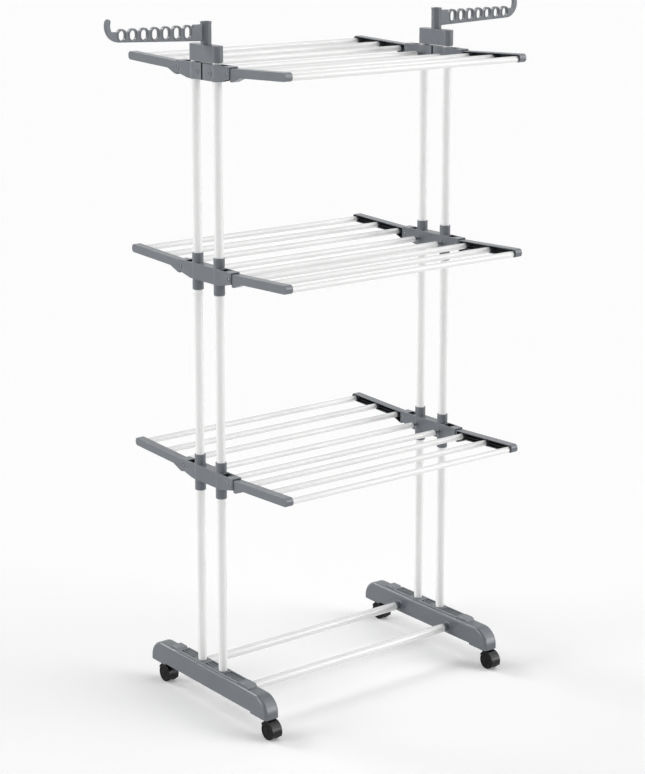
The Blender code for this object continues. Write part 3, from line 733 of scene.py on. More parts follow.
def rod(start, end, radius, rounding=0.0, sides=ROUND_SIDES):
    """A solid round rod between two points, with rounded rims."""
    length = (Vector(end) - Vector(start)).length
    if not rounding:
        return aimed(turned([(radius, 0), (radius, length)], sides), start, end)
    low = arc((radius - rounding, rounding), rounding, -math.pi / 2, 0, RIM_STEPS)
    high = arc((radius - rounding, length - rounding), rounding, 0, math.pi / 2, RIM_STEPS)
    return aimed(turned(low + high, sides), start, end)


def box(corner, opposite):
    """A box between two opposite corners."""
    shape = bmesh.new()
    low, high = (Vector(tuple(map(pick, corner, opposite))) for pick in (min, max))
    stretch = Matrix.Diagonal((*(high - low), 1))
    bmesh.ops.create_cube(shape, size=1, matrix=Matrix.Translation((low + high) / 2) @ stretch)
    return mesh_from(shape)


def join(meshes):
    """Several separate shapes in one mesh."""
    shape = bmesh.new()
    for mesh in meshes:
        shape.from_mesh(mesh)
        bpy.data.meshes.remove(mesh)
    return mesh_from(shape)


def twin_rods(start, end, radius, rounding=0.0, sides=ROUND_SIDES):
    """A rod and its twin on the other side of the middle plane, along Y."""
    (x, y, z), (end_x, end_y, end_z) = start, end
    return join([rod((x, side * y, z), (end_x, side * end_y, end_z), radius, rounding, sides)
                 for side in (-1, 1)])


def twin_boxes(corner, opposite):
    """A box and its twin on the other side of the middle plane, along Y."""
    (x, y, z), (far_x, far_y, far_z) = corner, opposite
    return join([box((x, side * y, z), (far_x, side * far_y, far_z)) for side in (-1, 1)])


def baked(item):
    """The mesh of an object as its modifiers or its curve settings make it; the object goes."""
    bpy.context.scene.collection.objects.link(item)
    bpy.context.view_layer.update()
    seen = item.evaluated_get(bpy.context.evaluated_depsgraph_get())
    mesh = bpy.data.meshes.new_from_object(seen)
    bpy.data.objects.remove(item, do_unlink=True)
    return mesh


def plate(outline, thickness, facing, rounding, shift=0.0, holes=(), steps=RIM_STEPS):
    """A flat outline with its thickness about the shift, rounded edges and rounded holes."""
    curve = bpy.data.curves.new("outline", "CURVE")
    curve.dimensions = "2D"
    curve.fill_mode = "BOTH"
    curve.extrude = thickness / 2 - rounding
    curve.bevel_depth = rounding
    curve.offset = -rounding
    curve.bevel_resolution = steps - 1
    for points in (outline, *holes):
        line = curve.splines.new("POLY")
        line.points.add(len(points) - 1)
        for point, (u, w) in zip(line.points, points):
            point.co = (u, w, 0, 1)
        line.use_cyclic_u = True
    mesh = baked(bpy.data.objects.new("outline", curve))
    mesh.transform(facing @ Matrix.Translation((0, 0, shift)))
    shape = bmesh.new()
    shape.from_mesh(mesh)
    bpy.data.meshes.remove(mesh)
    bmesh.ops.remove_doubles(shape, verts=shape.verts, dist=MERGE)
    return mesh_from(shape)


def add(mesh):
    """A step that joins a mesh to the base."""
    return "UNION", mesh


def cut(mesh):
    """A step that cuts a mesh out of the base."""
    return "DIFFERENCE", mesh


def inside(mesh):
    """A tool mesh that lays the dull dark painted shade on the faces it cuts or adds."""
    mesh.materials.append(finish("inner_grey"))
    return mesh


def worked(base, steps, edge):
    """The base after its Boolean steps, with sharp edges rounded and even shading."""
    item = bpy.data.objects.new("base", base)
    if any(mesh.materials for _, mesh in steps):
        for mesh in (base, *(mesh for _, mesh in steps)):
            if not mesh.materials:
                mesh.materials.append(finish("grey_plastic"))
    tools = []
    for operation, mesh in steps:
        tool = bpy.data.objects.new("tool", mesh)
        bpy.context.scene.collection.objects.link(tool)
        tools.append(tool)
        change = item.modifiers.new("work", "BOOLEAN")
        change.operation = operation
        change.solver = "EXACT"
        change.material_mode = "TRANSFER"
        change.object = tool
    flat = item.modifiers.new("flat_faces", "DECIMATE")
    flat.decimate_type = "DISSOLVE"
    flat.angle_limit = FLAT_ANGLE
    round_edges = item.modifiers.new("edges", "BEVEL")
    round_edges.limit_method = "ANGLE"
    round_edges.angle_limit = SHARP_ANGLE
    round_edges.width = edge
    round_edges.segments = 2
    round_edges.use_clamp_overlap = False
    even = item.modifiers.new("even_shading", "WEIGHTED_NORMAL")
    even.keep_sharp = True
    mesh = baked(item)
    for tool in tools:
        bpy.data.objects.remove(tool, do_unlink=True)
    mesh.shade_smooth()
    return mesh


# ---- placing

# Where an outline's own axes point: along the rack's side, and across its front
SIDE_ON = Matrix(((0, 0, 1, 0), (1, 0, 0, 0), (0, 1, 0, 0), (0, 0, 0, 1)))
FRONT_ON = Matrix(((1, 0, 0, 0), (0, 0, -1, 0), (0, 1, 0, 0), (0, 0, 0, 1)))


def joint_place(name):
    """Where a joint's axis passes."""
    return Vector(next(joint["pos_m"] for joint in frame["joints"] if joint["name"] == name))


pole_radius = extent("mast_left").x / 2
tower_x = middle("mast_right").x
pole_y = extent("mast_left").y / 2 - pole_radius
bar_radius = extent("middle_bar_lower_front").z / 2
base_radius = extent("base_rod_front").z / 2
tier_heights = {tier: middle(f"middle_bar_{tier}_front").z for tier in TIERS}
foot_length = extent("foot_left").y
foot_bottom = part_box("foot_left")[0].z
foot_top = foot_bottom + FOOT_HEIGHT
deck_top = foot_top + DECK_RISE
hub_length = extent("hub_lower_left").y
pivot_y = joint_place("wing_lower_back_fold").y
beam_top = HUB_RISE - ROOF_THICKNESS - PIVOT_RISE - ROOF_CLEARANCE
bracket_width = HUB_WIDTH - 2 * HUB_WALL - 2 * PLAY
channel_start = GUSSET_INSET + TAIL_SOLID
bar_places = [FIRST_BAR_REACH + number * BAR_PITCH for number in range(3)]
beam_end = bar_places[-1] + BEAM_TIP
arm_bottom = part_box("hook_arm_left")[0].z
block_top = arm_bottom - PLAY
wheel_radius = extent("caster_front_left_wheels").z / 2


def show(name, mesh, kind, body, place):
    """A piece of the rack in its place, with its finish, that rides on a body."""
    own = mesh.copy()
    own.transform(place)
    if not any(own.materials):
        own.materials.clear()
        own.materials.append(finish(kind))
    item = bpy.data.objects.new(name, own)
    bpy.context.scene.collection.objects.link(item)
    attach(item, body)
    return item


def stand_for(node, mesh, kind, word, place):
    """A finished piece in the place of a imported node."""
    item = show(f"{node}_{word}", mesh, kind, body_of_node[node], place)
    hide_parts(node)


def moulding(node, mesh, place):
    """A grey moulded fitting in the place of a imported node."""
    stand_for(node, mesh, "grey_plastic", "moulding", place)


def turn_for(side):
    """Turn about Z for a piece modelled on the left: a right one is turned half way round."""
    return Matrix.Identity(4) if side < 0 else Matrix.Rotation(math.pi, 4, "Z")


def on_tower(side, height=0.0):
    """Where a tower's axis passes a height."""
    return Matrix.Translation((side * tower_x, 0, height))


# ---- tubes


def along_bars(mesh):
    """A turned mesh laid along X, with its sharp edges kept sharp."""
    mesh.transform(Matrix.Rotation(math.pi / 2, 4, "Y"))
    mesh.set_sharp_from_angle(angle=SHARP_ANGLE)
    return mesh


def tube_mesh(length, radius, wall, rounding):
    """An open tube along X about its middle, with its ends rolled in."""
    half = length / 2
    inner, lip = radius - wall, radius - rounding
    outer_rim = arc((lip, half - rounding), rounding, math.pi / 2, 0, RIM_STEPS)
    low_rim = arc((lip, rounding - half), rounding, 0, -math.pi / 2, RIM_STEPS)
    profile = outer_rim + low_rim + [(lip, wall - half), (inner, rounding + wall - half),
                                     (inner, half - wall - rounding), (lip, half - wall)]
    return along_bars(turned(profile, TUBE_SIDES, closed=True))


def capped_bar_mesh(length, radius, sizes):
    """A bar along X with a moulded cap in each end, which leaves a hole for its neck."""
    half, rounding = length / 2, sizes.cap_radius
    high = arc((radius - rounding, half - rounding), rounding, math.pi / 2, 0, RIM_STEPS)
    low = arc((radius - rounding, rounding - half), rounding, 0, -math.pi / 2, RIM_STEPS)
    joint = CAP_SEAM_DEPTH
    seam = half - rounding - CAP_SHOW
    step = [(radius, seam + joint), (radius - joint, seam), (radius, seam - joint)]
    profile = high + step + [(r, -z) for r, z in reversed(step)] + low
    profile += [(NECK_HOLE_RADIUS, -half), (NECK_HOLE_RADIUS, half)]
    return along_bars(turned(profile, TUBE_SIDES, closed=True))


def mast_mesh():
    """The two poles of a tower, one tube that bends over inside the top block."""
    low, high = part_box("mast_left")
    crown = high.z - pole_radius
    turn_y, turn_z = pole_y - POLE_BEND, crown - POLE_BEND
    route = [(-pole_y, low.z, math.pi)]
    for centre, start, end in (((-turn_y, turn_z), math.pi, math.pi / 2),
                               ((turn_y, turn_z), math.pi / 2, 0)):
        for step, (y, z) in enumerate(arc(centre, POLE_BEND, start, end, BEND_STEPS)):
            route.append((y, z, start + (end - start) * step / BEND_STEPS))
    route.append((pole_y, low.z, 0))

    def ring(radius, y, z, lean):
        """Points round the tube at a place where it leans."""
        points = []
        for k in range(TUBE_SIDES):
            angle = math.tau * k / TUBE_SIDES
            out = radius * math.cos(angle)
            points.append((radius * math.sin(angle), y + out * math.cos(lean),
                           z + out * math.sin(lean)))
        return points

    rings = [ring(pole_radius, *stop) for stop in route]
    rings += [ring(pole_radius - POLE_WALL, *stop) for stop in reversed(route)]
    mesh = loft(rings, closed=True)
    mesh.set_sharp_from_angle(angle=SHARP_ANGLE)
    return mesh


class RACK_OT_tubes(bpy.types.Operator):
    """Makes the poles, the base rods and the bars"""
    bl_idname = "rack.tubes"
    bl_label = "Tubes"

    def execute(self, context):
        sizes = context.scene.rack_sizes
        for node in frame["nodes"]:
            if node.startswith("mast"):
                place = Matrix.Translation((middle(node).x, 0, 0))
                stand_for(node, mast_mesh(), "white_poles", "tube", place)
            elif node.startswith("base_rod"):
                mesh = tube_mesh(extent(node).x, base_radius, POLE_WALL, sizes.rod_end_radius)
                stand_for(node, mesh, "white_bars", "tube", Matrix.Translation(middle(node)))
            elif node.startswith("middle_bar"):
                mesh = capped_bar_mesh(extent(node).x, bar_radius, sizes)
                stand_for(node, mesh, "white_bars", "tube", Matrix.Translation(middle(node)))
            elif "_bar_" in node:
                mesh = tube_mesh(extent(node).x, bar_radius, BAR_WALL, sizes.bar_end_radius)
                stand_for(node, mesh, "white_bars", "tube", Matrix.Translation(middle(node)))
        return {"FINISHED"}


# ---- feet


def foot_outline(inset, bottom):
    """A foot seen from the side, with quarter-round ends."""
    half = foot_length / 2 - inset
    top = foot_top - inset
    radius = FOOT_END_RADIUS - inset
    low_turn, high_turn = (half - radius, top - radius), (radius - half, top - radius)
    return ([(half, bottom)] + arc(low_turn, radius, 0, math.pi / 2, FOOT_END_STEPS)
            + arc(high_turn, radius, math.pi / 2, math.pi, FOOT_END_STEPS) + [(-half, bottom)])


def foot_mesh(sizes):
    """The left foot, a shell open below, about its own middle and at its real height."""
    face, wall, rib = FOOT_WIDTH / 2, FOOT_WALL / 2, FOOT_RIB / 2
    roof = foot_top - wall
    inner_width = FOOT_WIDTH - 2 * FOOT_WALL
    rib_half = inner_width / 2 + wall
    pole_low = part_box("mast_left")[0].z
    stem_top = foot_bottom + STEM_LENGTH
    collar_start = face - wall
    collar_end = middle("base_rod_front").x - extent("base_rod_front").x / 2 + tower_x
    _, rod_y, rod_z = middle("base_rod_back")
    caster_y = joint_place("caster_back_left_swivel").y
    pad_start = DECK_LENGTH / 2 - PAD_LAP
    pad_end = pad_start + PAD_LENGTH
    pad_top = deck_top + PAD_RISE
    tray_end = TRAY_START + TRAY_LENGTH
    tray_floor = deck_top - TRAY_DEPTH
    tray, middle_tray_end = TRAY_WIDTH / 2, MIDDLE_TRAY_LENGTH / 2
    trays = ((TRAY_START, tray_end), (-tray_end, -TRAY_START), (-middle_tray_end, middle_tray_end))
    grip_places = [TRAY_WIDTH * ((number + 1) / (GRIP_COUNT + 1) - 1 / 2)
                   for number in range(GRIP_COUNT)]

    def mound(low_y, high_y, slope, high, width, rounding):
        """A form that rises from the roof, with sloping ends."""
        outline = [(low_y, roof), (high_y, roof), (high_y - slope, high), (low_y + slope, high)]
        return plate(outline, width, SIDE_ON, rounding)

    def collar(y):
        """The peg's round flare at the foot's face and its shoulder at the base rod."""
        bend = COLLAR_FLARE_RADIUS - COLLAR_RADIUS
        profile = [(COLLAR_FLARE_RADIUS, 0)]
        profile += [(r, wall + h) for r, h in arc((COLLAR_FLARE_RADIUS, bend), bend,
                                                  -math.pi / 2, -math.pi, RIM_STEPS)]
        profile.append((COLLAR_RADIUS, collar_end - PLAY - collar_start))
        return aimed(turned(profile, ROUND_SIDES), (collar_start, y, rod_z),
                     (collar_end - PLAY, y, rod_z))

    def at_poles(low, high, radius, rounding=0.0):
        """Upright rods on the poles' axes."""
        return twin_rods((0, pole_y, low), (0, pole_y, high), radius, rounding)

    shell = plate(foot_outline(0, foot_bottom - FOOT_EDGE), FOOT_WIDTH, SIDE_ON, FOOT_EDGE,
                  steps=FOOT_EDGE_STEPS)
    below = box((-FOOT_WIDTH, -foot_length, foot_bottom - FOOT_WIDTH),
                (FOOT_WIDTH, foot_length, foot_bottom))
    arch = box((-FOOT_WIDTH, -ARCH_LENGTH / 2, foot_bottom - FOOT_EDGE),
               (FOOT_WIDTH, ARCH_LENGTH / 2, foot_bottom + ARCH_RISE))
    hollow = plate(foot_outline(FOOT_WALL, foot_bottom - FOOT_EDGE), inner_width, SIDE_ON,
                   FOOT_EDGE - FOOT_WALL)
    pole_bosses = at_poles(pole_low - SOCKET_FLOOR, roof, pole_radius + SOCKET_WALL)
    pole_ribs = twin_boxes((-rib_half, pole_y - rib, pole_low - FOOT_RIB),
                           (rib_half, pole_y + rib, roof))
    stem_bosses = twin_rods((0, caster_y, foot_bottom), (0, caster_y, stem_top),
                            STEM_RADIUS + SOCKET_WALL)
    stem_ribs = twin_boxes((-rib_half, caster_y - rib, foot_bottom + FOOT_RIB),
                           (rib_half, caster_y + rib, stem_top - rib))
    spigots = twin_rods((face, rod_y, rod_z), (collar_end + SPIGOT_LENGTH, rod_y, rod_z),
                        base_radius - SPIGOT_PLAY)
    deck = mound(-DECK_LENGTH / 2, DECK_LENGTH / 2, DECK_SLOPE, deck_top, DECK_WIDTH, DECK_EDGE)
    pole_rims = at_poles(roof, deck_top + POLE_RIM_HEIGHT, POLE_RIM_RADIUS, POLE_RIM_HEIGHT / 2)
    pads = [mound(*ends, PAD_SLOPE, pad_top, PAD_WIDTH, PAD_EDGE)
            for ends in ((-pad_end, -pad_start), (pad_start, pad_end))]
    side_trays = twin_boxes((-tray, TRAY_START, tray_floor), (tray, tray_end, pad_top))
    middle_tray = box((-tray, -middle_tray_end, tray_floor), (tray, middle_tray_end, pad_top))
    grips = [box((x - GRIP_WIDTH / 2, near - PLAY, tray_floor - PLAY),
                 (x + GRIP_WIDTH / 2, far + PLAY, deck_top - GRIP_DEPTH))
             for near, far in trays for x in grip_places]
    sockets = at_poles(pole_low, pad_top, pole_radius + PLAY)
    countersinks = at_poles(deck_top - POLE_GAP_DEPTH, pad_top, pole_radius + POLE_GAP)
    # painted shade: the hollow, the pole sockets and the countersinks get the near-black grey
    steps = [cut(below), cut(arch), cut(inside(hollow)), add(pole_bosses), add(pole_ribs),
             add(stem_bosses), add(stem_ribs), add(join([collar(-rod_y), collar(rod_y)])),
             add(spigots), add(deck), add(pole_rims), add(join(pads)), cut(side_trays),
             cut(middle_tray), add(join(grips)), cut(inside(sockets)), cut(inside(countersinks))]
    return worked(shell, steps, sizes.edge_radius)


# ---- hubs


def hub_mesh(sizes, sleeve_top, sleeve_drop, slotted):
    """A left hub about its tower's axis, with zero at the height of the middle bars."""
    half, face = hub_length / 2, HUB_WIDTH / 2
    core = pole_y + pole_radius + CORE_WALL
    channel = face - HUB_WALL
    roof_low, above = HUB_RISE - ROOF_THICKNESS, HUB_RISE + HUB_WALL
    low = -sleeve_drop - HUB_DROP
    bar = "middle_bar_lower_front"
    shoulder = tower_x + middle(bar).x - extent(bar).x / 2
    root = (face - HUB_WALL / 2, pole_y, 0)
    outline = [(half, HUB_RISE), (-half, HUB_RISE), (-half, -HUB_END_DROP), (-core, -HUB_DROP),
               (core, -HUB_DROP), (half, -HUB_END_DROP)]
    sleeves = twin_rods((0, pole_y, -sleeve_drop), (0, pole_y, sleeve_top), SLEEVE_OD / 2,
                        SLEEVE_RIM)
    channels = twin_boxes((-channel, core, low), (channel, half + HUB_WALL, roof_low))
    windows = twin_boxes((-channel, core, roof_low - HUB_WALL),
                         (channel, half - ROOF_LENGTH, above))
    pole_holes = twin_rods((0, pole_y, low), (0, pole_y, sleeve_top + HUB_WALL),
                           pole_radius + PLAY)
    pivot_holes = twin_rods((-2 * face, pivot_y, PIVOT_RISE), (2 * face, pivot_y, PIVOT_RISE),
                            PIVOT_RADIUS + PLAY, sides=PIN_SIDES)
    necks = twin_rods(root, (shoulder + HUB_WALL, pole_y, 0), NECK_RADIUS, sides=PIN_SIDES)
    neck_roots = twin_rods(root, (face + NECK_ROOT_LENGTH, pole_y, 0), NECK_ROOT_RADIUS,
                           NECK_ROOT_LENGTH / 3, PIN_SIDES)
    # painted shade: the channels get the near-black grey
    steps = [add(sleeves), cut(inside(channels)), cut(windows), cut(pole_holes),
             cut(pivot_holes), add(necks), add(neck_roots)]
    if slotted:
        slots = [box((side * (face - SLOT_DEPTH), -SLOT_WIDTH / 2, low),
                     (side * (face + HUB_WALL), SLOT_WIDTH / 2, above)) for side in (-1, 1)]
        # painted shade: the slots get the near-black grey
        steps.append(cut(inside(join(slots))))
    return worked(plate(outline, HUB_WIDTH, SIDE_ON, HUB_EDGE), steps, sizes.edge_radius)


# ---- wing brackets


def bracket_outline(inset, start):
    """A wing bracket from the side, from a place along its beam, or with its round tail."""
    top, bottom = beam_top - inset, beam_top - BEAM_HEIGHT + inset
    radius = BEAM_TIP_RADIUS - inset
    end = beam_end - inset
    edge = GUSSET_INSET + inset
    low = bottom - GUSSET_DROP
    flat_end = channel_start + GUSSET_FLAT - inset / 2
    tip = (arc((end - radius, bottom + radius), radius, -math.pi / 2, 0, TIP_STEPS)
           + arc((end - radius, top - radius), radius, 0, math.pi / 2, TIP_STEPS))
    if start is None:
        tail = arc((0, 0), beam_top, math.pi / 2, 3 * math.pi / 2, 2 * TIP_STEPS)
        tail += [(edge, -beam_top), (edge, low)]
    else:
        tail = [(start, top), (start, low)]
    return tail + [(flat_end, low), (flat_end + GUSSET_SLOPE, bottom)] + tip


def bracket_mesh(sizes, side):
    """A wing bracket in the wing's own frame: pivot axis along X, beam along Y."""
    half, wall, rib = bracket_width / 2, BEAM_WALL / 2, BEAM_RIB / 2
    tower = side * tower_x
    web_face = tower + side * (half - BEAM_WALL)
    rib_start = web_face + side * wall
    rib_edge = tower - side * (half - BEAM_RIB_RECESS)
    bar_end = side * extent("wing_lower_front_bar_1").x / 2
    stop_high = HUB_RISE - ROOF_THICKNESS - PIVOT_RISE - PLAY
    collars, plugs, partitions = [], [], []
    for y in bar_places:
        collars.append(rod((rib_start, y, 0), (bar_end + side * PLAY, y, 0), END_COLLAR_RADIUS,
                           END_COLLAR_RIM))
        plugs.append(rod((web_face, y, 0), (bar_end - side * PLUG_LENGTH, y, 0),
                         bar_radius - PLUG_PLAY))
        partitions.append(box((rib_start, y - rib, beam_top - BEAM_HEIGHT + wall),
                              (rib_edge, y + rib, beam_top - wall)))
    body = plate(bracket_outline(0, None), bracket_width, SIDE_ON, BEAM_EDGE, tower)
    hollow = plate(bracket_outline(BEAM_WALL, channel_start), bracket_width, SIDE_ON,
                   BEAM_EDGE / 4, tower - side * BEAM_WALL)
    long_rib = box((rib_start, channel_start - wall, -rib), (rib_edge, beam_end - wall, rib))
    stop = box((tower - STOP_WIDTH / 2, 0, beam_top - wall),
               (tower + STOP_WIDTH / 2, STOP_LENGTH, stop_high))
    trunnion = half + TRUNNION_DEPTH
    pin = rod((tower - trunnion, 0, 0), (tower + trunnion, 0, 0), PIVOT_RADIUS, sides=PIN_SIDES)
    # painted shade: the hollow, its long rib and the partitions get the near-black grey
    steps = [cut(inside(hollow)), add(inside(long_rib)), add(inside(join(partitions))),
             add(join(collars)), add(join(plugs)), add(stop), add(pin)]
    return worked(body, steps, sizes.edge_radius)


# ---- top blocks and hook arms


def long_round(x, z, width, height):
    """An upright outline with half-round ends, about its middle."""
    radius = width / 2
    lift = height / 2 - radius
    return (arc((x, z + lift), radius, 0, math.pi, HOLE_STEPS)
            + arc((x, z - lift), radius, math.pi, math.tau, HOLE_STEPS))


def block_mesh(sizes):
    """A top block, a cap with round ends over the bend of the poles, with the peg for its arm."""
    low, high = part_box("top_block_left")
    length, width = high.y - low.y, high.x - low.x
    roof_middle = block_top - BLOCK_ROOF / 2

    def upright_plate(inset, bottom, top, rounding):
        """The block's outline, drawn in by the inset, between two heights."""
        outline = long_round(0, 0, width - 2 * inset, length - 2 * inset)
        return plate(outline, top - bottom, Matrix.Identity(4), rounding, (bottom + top) / 2)

    body = upright_plate(0, low.z, block_top, BLOCK_EDGE)
    cavity = upright_plate(BLOCK_WALL, low.z - BLOCK_WALL, block_top - BLOCK_ROOF, 0)
    seat = rod((0, 0, roof_middle), (0, 0, block_top + PLAY / 2), ARM_SEAT_RADIUS)
    peg = rod((0, 0, roof_middle), (0, 0, high.z), PEG_RADIUS, PEG_RIM)
    bore = rod((0, 0, high.z - PEG_BORE_DEPTH), (0, 0, high.z + PEG_RIM), PEG_BORE_RADIUS)
    # painted shade: the cavity gets the near-black grey
    return worked(body, [cut(inside(cavity)), add(seat), add(peg), cut(bore)], sizes.edge_radius)


def arm_mesh(sizes):
    """A hook arm along +X from its post's axis, with zero at the sleeve's lower end."""
    holes = []
    for number in range(HOLE_COUNT):
        along = number / (HOLE_COUNT - 1)
        holes.append((FIRST_HOLE + number * HOLE_PITCH, HOLE_AXIS_RISE + along * HOLE_CLIMB,
                      FIRST_HOLE_HEIGHT + along * (LAST_HOLE_HEIGHT - FIRST_HOLE_HEIGHT)))
    _, first_z, first_height = holes[0]
    last_x, last_z, last_height = holes[-1]
    centre = (last_x + HOOK_OFFSET, last_z - last_height / 2 - ARM_BEAD_WIDTH + HOOK_RADIUS)
    inner = HOOK_RADIUS - HOOK_THICKNESS
    start = ARM_SLEEVE_OD / 2 - ARM_SLEEVE_WALL / 2
    root_end = FIRST_HOLE - HOLE_WIDTH / 2 - ARM_BEAD_WIDTH
    root_top = ARM_ROOT_LOW + ARM_ROOT_HEIGHT
    curl_end = HOOK_CURL - math.pi / 2
    tip_middle = (inner + HOOK_RADIUS) / 2
    tip_centre = (centre[0] + tip_middle * math.cos(curl_end),
                  centre[1] + tip_middle * math.sin(curl_end))
    outline = [(start, ARM_ROOT_LOW)]
    outline += arc(centre, HOOK_RADIUS, -math.pi / 2, curl_end, CURL_STEPS)
    outline += arc(tip_centre, HOOK_THICKNESS / 2, curl_end, curl_end + math.pi, HOLE_STEPS)[1:-1]
    outline += arc(centre, inner, curl_end, HOOK_INNER_END, CURL_STEPS)
    outline += [(last_x, last_z + last_height / 2 - ARM_DIP),
                (root_end, first_z + first_height / 2 - ARM_DIP), (root_end - ARM_DIP, root_top),
                (start, root_top)]
    web = plate(outline, ARM_WEB, FRONT_ON, ARM_EDGE)

    def ring_plate(hole, margin, rounding, holes=()):
        """A plate with a hole's outline and a margin round it."""
        x, z, height = hole
        outline = long_round(x, z, HOLE_WIDTH + margin, height + margin)
        return plate(outline, ARM_BEAD, FRONT_ON, rounding, holes=holes)

    web_holes = [ring_plate(hole, ARM_BEAD_WIDTH, 0) for hole in holes]
    beads = [ring_plate((x, z, height), 2 * ARM_BEAD_WIDTH, ARM_BEAD_EDGE,
                        [long_round(x, z, HOLE_WIDTH, height)]) for x, z, height in holes]
    sleeve, rim, height = ARM_SLEEVE_OD / 2, ARM_RIM_OD / 2, ARM_SLEEVE_HEIGHT
    edge = ARM_RIM_EDGE
    rim_low, bore = height - ARM_RIM_HEIGHT, sleeve - ARM_SLEEVE_WALL
    profile = arc((rim - edge, height - edge), edge, math.pi / 2, 0, RIM_STEPS)
    profile += [(rim, rim_low + edge), (sleeve, rim_low)]
    profile += arc((sleeve - edge, edge), edge, 0, -math.pi / 2, RIM_STEPS)
    profile += [(bore, 0), (bore, height)]
    post = turned(profile, ROUND_SIDES, closed=True)
    return worked(web, [cut(join(web_holes)), add(join(beads)), add(post)], sizes.edge_radius / 2)


class RACK_OT_feet(bpy.types.Operator):
    """Makes the two feet"""
    bl_idname = "rack.feet"
    bl_label = "Feet"

    def execute(self, context):
        mesh = foot_mesh(context.scene.rack_sizes)
        for name, side in SIDES.items():
            moulding(f"foot_{name}", mesh, on_tower(side) @ turn_for(side))
        return {"FINISHED"}


class RACK_OT_hubs(bpy.types.Operator):
    """Makes the six hubs, with the upper ones slotted and without sleeves"""
    bl_idname = "rack.hubs"
    bl_label = "Hubs"

    def execute(self, context):
        sizes = context.scene.rack_sizes
        hub = hub_mesh(sizes, SLEEVE_TOP, SLEEVE_DROP, False)
        top_hub = hub_mesh(sizes, HUB_RISE + TOP_SLEEVE_LIP, HUB_DROP + TOP_SLEEVE_LIP, True)
        for tier, height in tier_heights.items():
            for name, side in SIDES.items():
                moulding(f"hub_{tier}_{name}", top_hub if tier == "upper" else hub,
                         on_tower(side, height) @ turn_for(side))
        return {"FINISHED"}


class RACK_OT_wing_brackets(bpy.types.Operator):
    """Makes the brackets at both ends of the six wings"""
    bl_idname = "rack.wing_brackets"
    bl_label = "Wing Brackets"

    def execute(self, context):
        meshes = {side: bracket_mesh(context.scene.rack_sizes, side) for side in SIDES.values()}
        for tier in TIERS:
            for end, way in ENDS.items():
                pivot = joint_place(f"wing_{tier}_{end}_fold")
                place = (Matrix.Translation((0, pivot.y, pivot.z)) @ turn_for(-way)
                         @ Matrix.Rotation(WING_TILT, 4, "X"))
                for name, side in SIDES.items():
                    moulding(f"wing_{tier}_{end}_bracket_{name}", meshes[side * way], place)
        return {"FINISHED"}


class RACK_OT_top_blocks(bpy.types.Operator):
    """Makes the blocks that close the towers"""
    bl_idname = "rack.top_blocks"
    bl_label = "Top Blocks"

    def execute(self, context):
        mesh = block_mesh(context.scene.rack_sizes)
        for name, side in SIDES.items():
            moulding(f"top_block_{name}", mesh, on_tower(side))
        return {"FINISHED"}


class RACK_OT_hook_arms(bpy.types.Operator):
    """Makes the swivelling hook arms"""
    bl_idname = "rack.hook_arms"
    bl_label = "Hook Arms"

    def execute(self, context):
        mesh = arm_mesh(context.scene.rack_sizes)
        for name, side in SIDES.items():
            moulding(f"hook_arm_{name}", mesh, on_tower(side, arm_bottom) @ turn_for(-side))
        return {"FINISHED"}


# ---- casters


def hood_mesh(sizes):
    """A caster's hood and stem about the swivel axis, standing on the floor and trailing to -Y."""
    trail = -joint_place("caster_front_left_swivel").y + joint_place("caster_front_left_roll").y
    axle = (trail, wheel_radius)
    hood_half = WEB_WIDTH / 2 + WHEEL_GAP + WHEEL_WIDTH
    collar_top = foot_bottom - PLAY
    swivel_top = collar_top - SWIVEL_COLLAR_HEIGHT
    boss_low = swivel_top - SWIVEL_BOSS_HEIGHT
    hood = plate(arc(axle, HOOD_RADIUS, HOOD_FRONT, HOOD_BACK, HOOD_STEPS)
                 + arc(axle, HOOD_BORE, HOOD_BACK, HOOD_FRONT, HOOD_STEPS), 2 * hood_half, SIDE_ON,
                 HOOD_EDGE)
    web = plate(arc(axle, (HOOD_BORE + HOOD_RADIUS) / 2, -WEB_DROP, math.pi + WEB_DROP, HOOD_STEPS),
                WEB_WIDTH, SIDE_ON, WEB_EDGE)
    neck = box((-WEB_WIDTH / 2, trail, wheel_radius),
               (WEB_WIDTH / 2, SWIVEL_BOSS_RADIUS / 2, boss_low + PLAY))
    boss = rod((0, 0, boss_low), (0, 0, swivel_top), SWIVEL_BOSS_RADIUS, HOOD_EDGE)
    collar = rod((0, 0, swivel_top - HOOD_EDGE), (0, 0, collar_top), SWIVEL_COLLAR_RADIUS)
    stem = rod((0, 0, swivel_top), (0, 0, collar_top + STEM_LENGTH - HOOD_EDGE), STEM_RADIUS - PLAY,
               HOOD_EDGE)
    bore = rod((-hood_half, *axle), (hood_half, *axle), AXLE_RADIUS + PLAY, sides=PIN_SIDES)
    return worked(web, [add(hood), add(neck), add(boss), add(collar), add(stem), cut(bore)],
                  sizes.edge_radius)


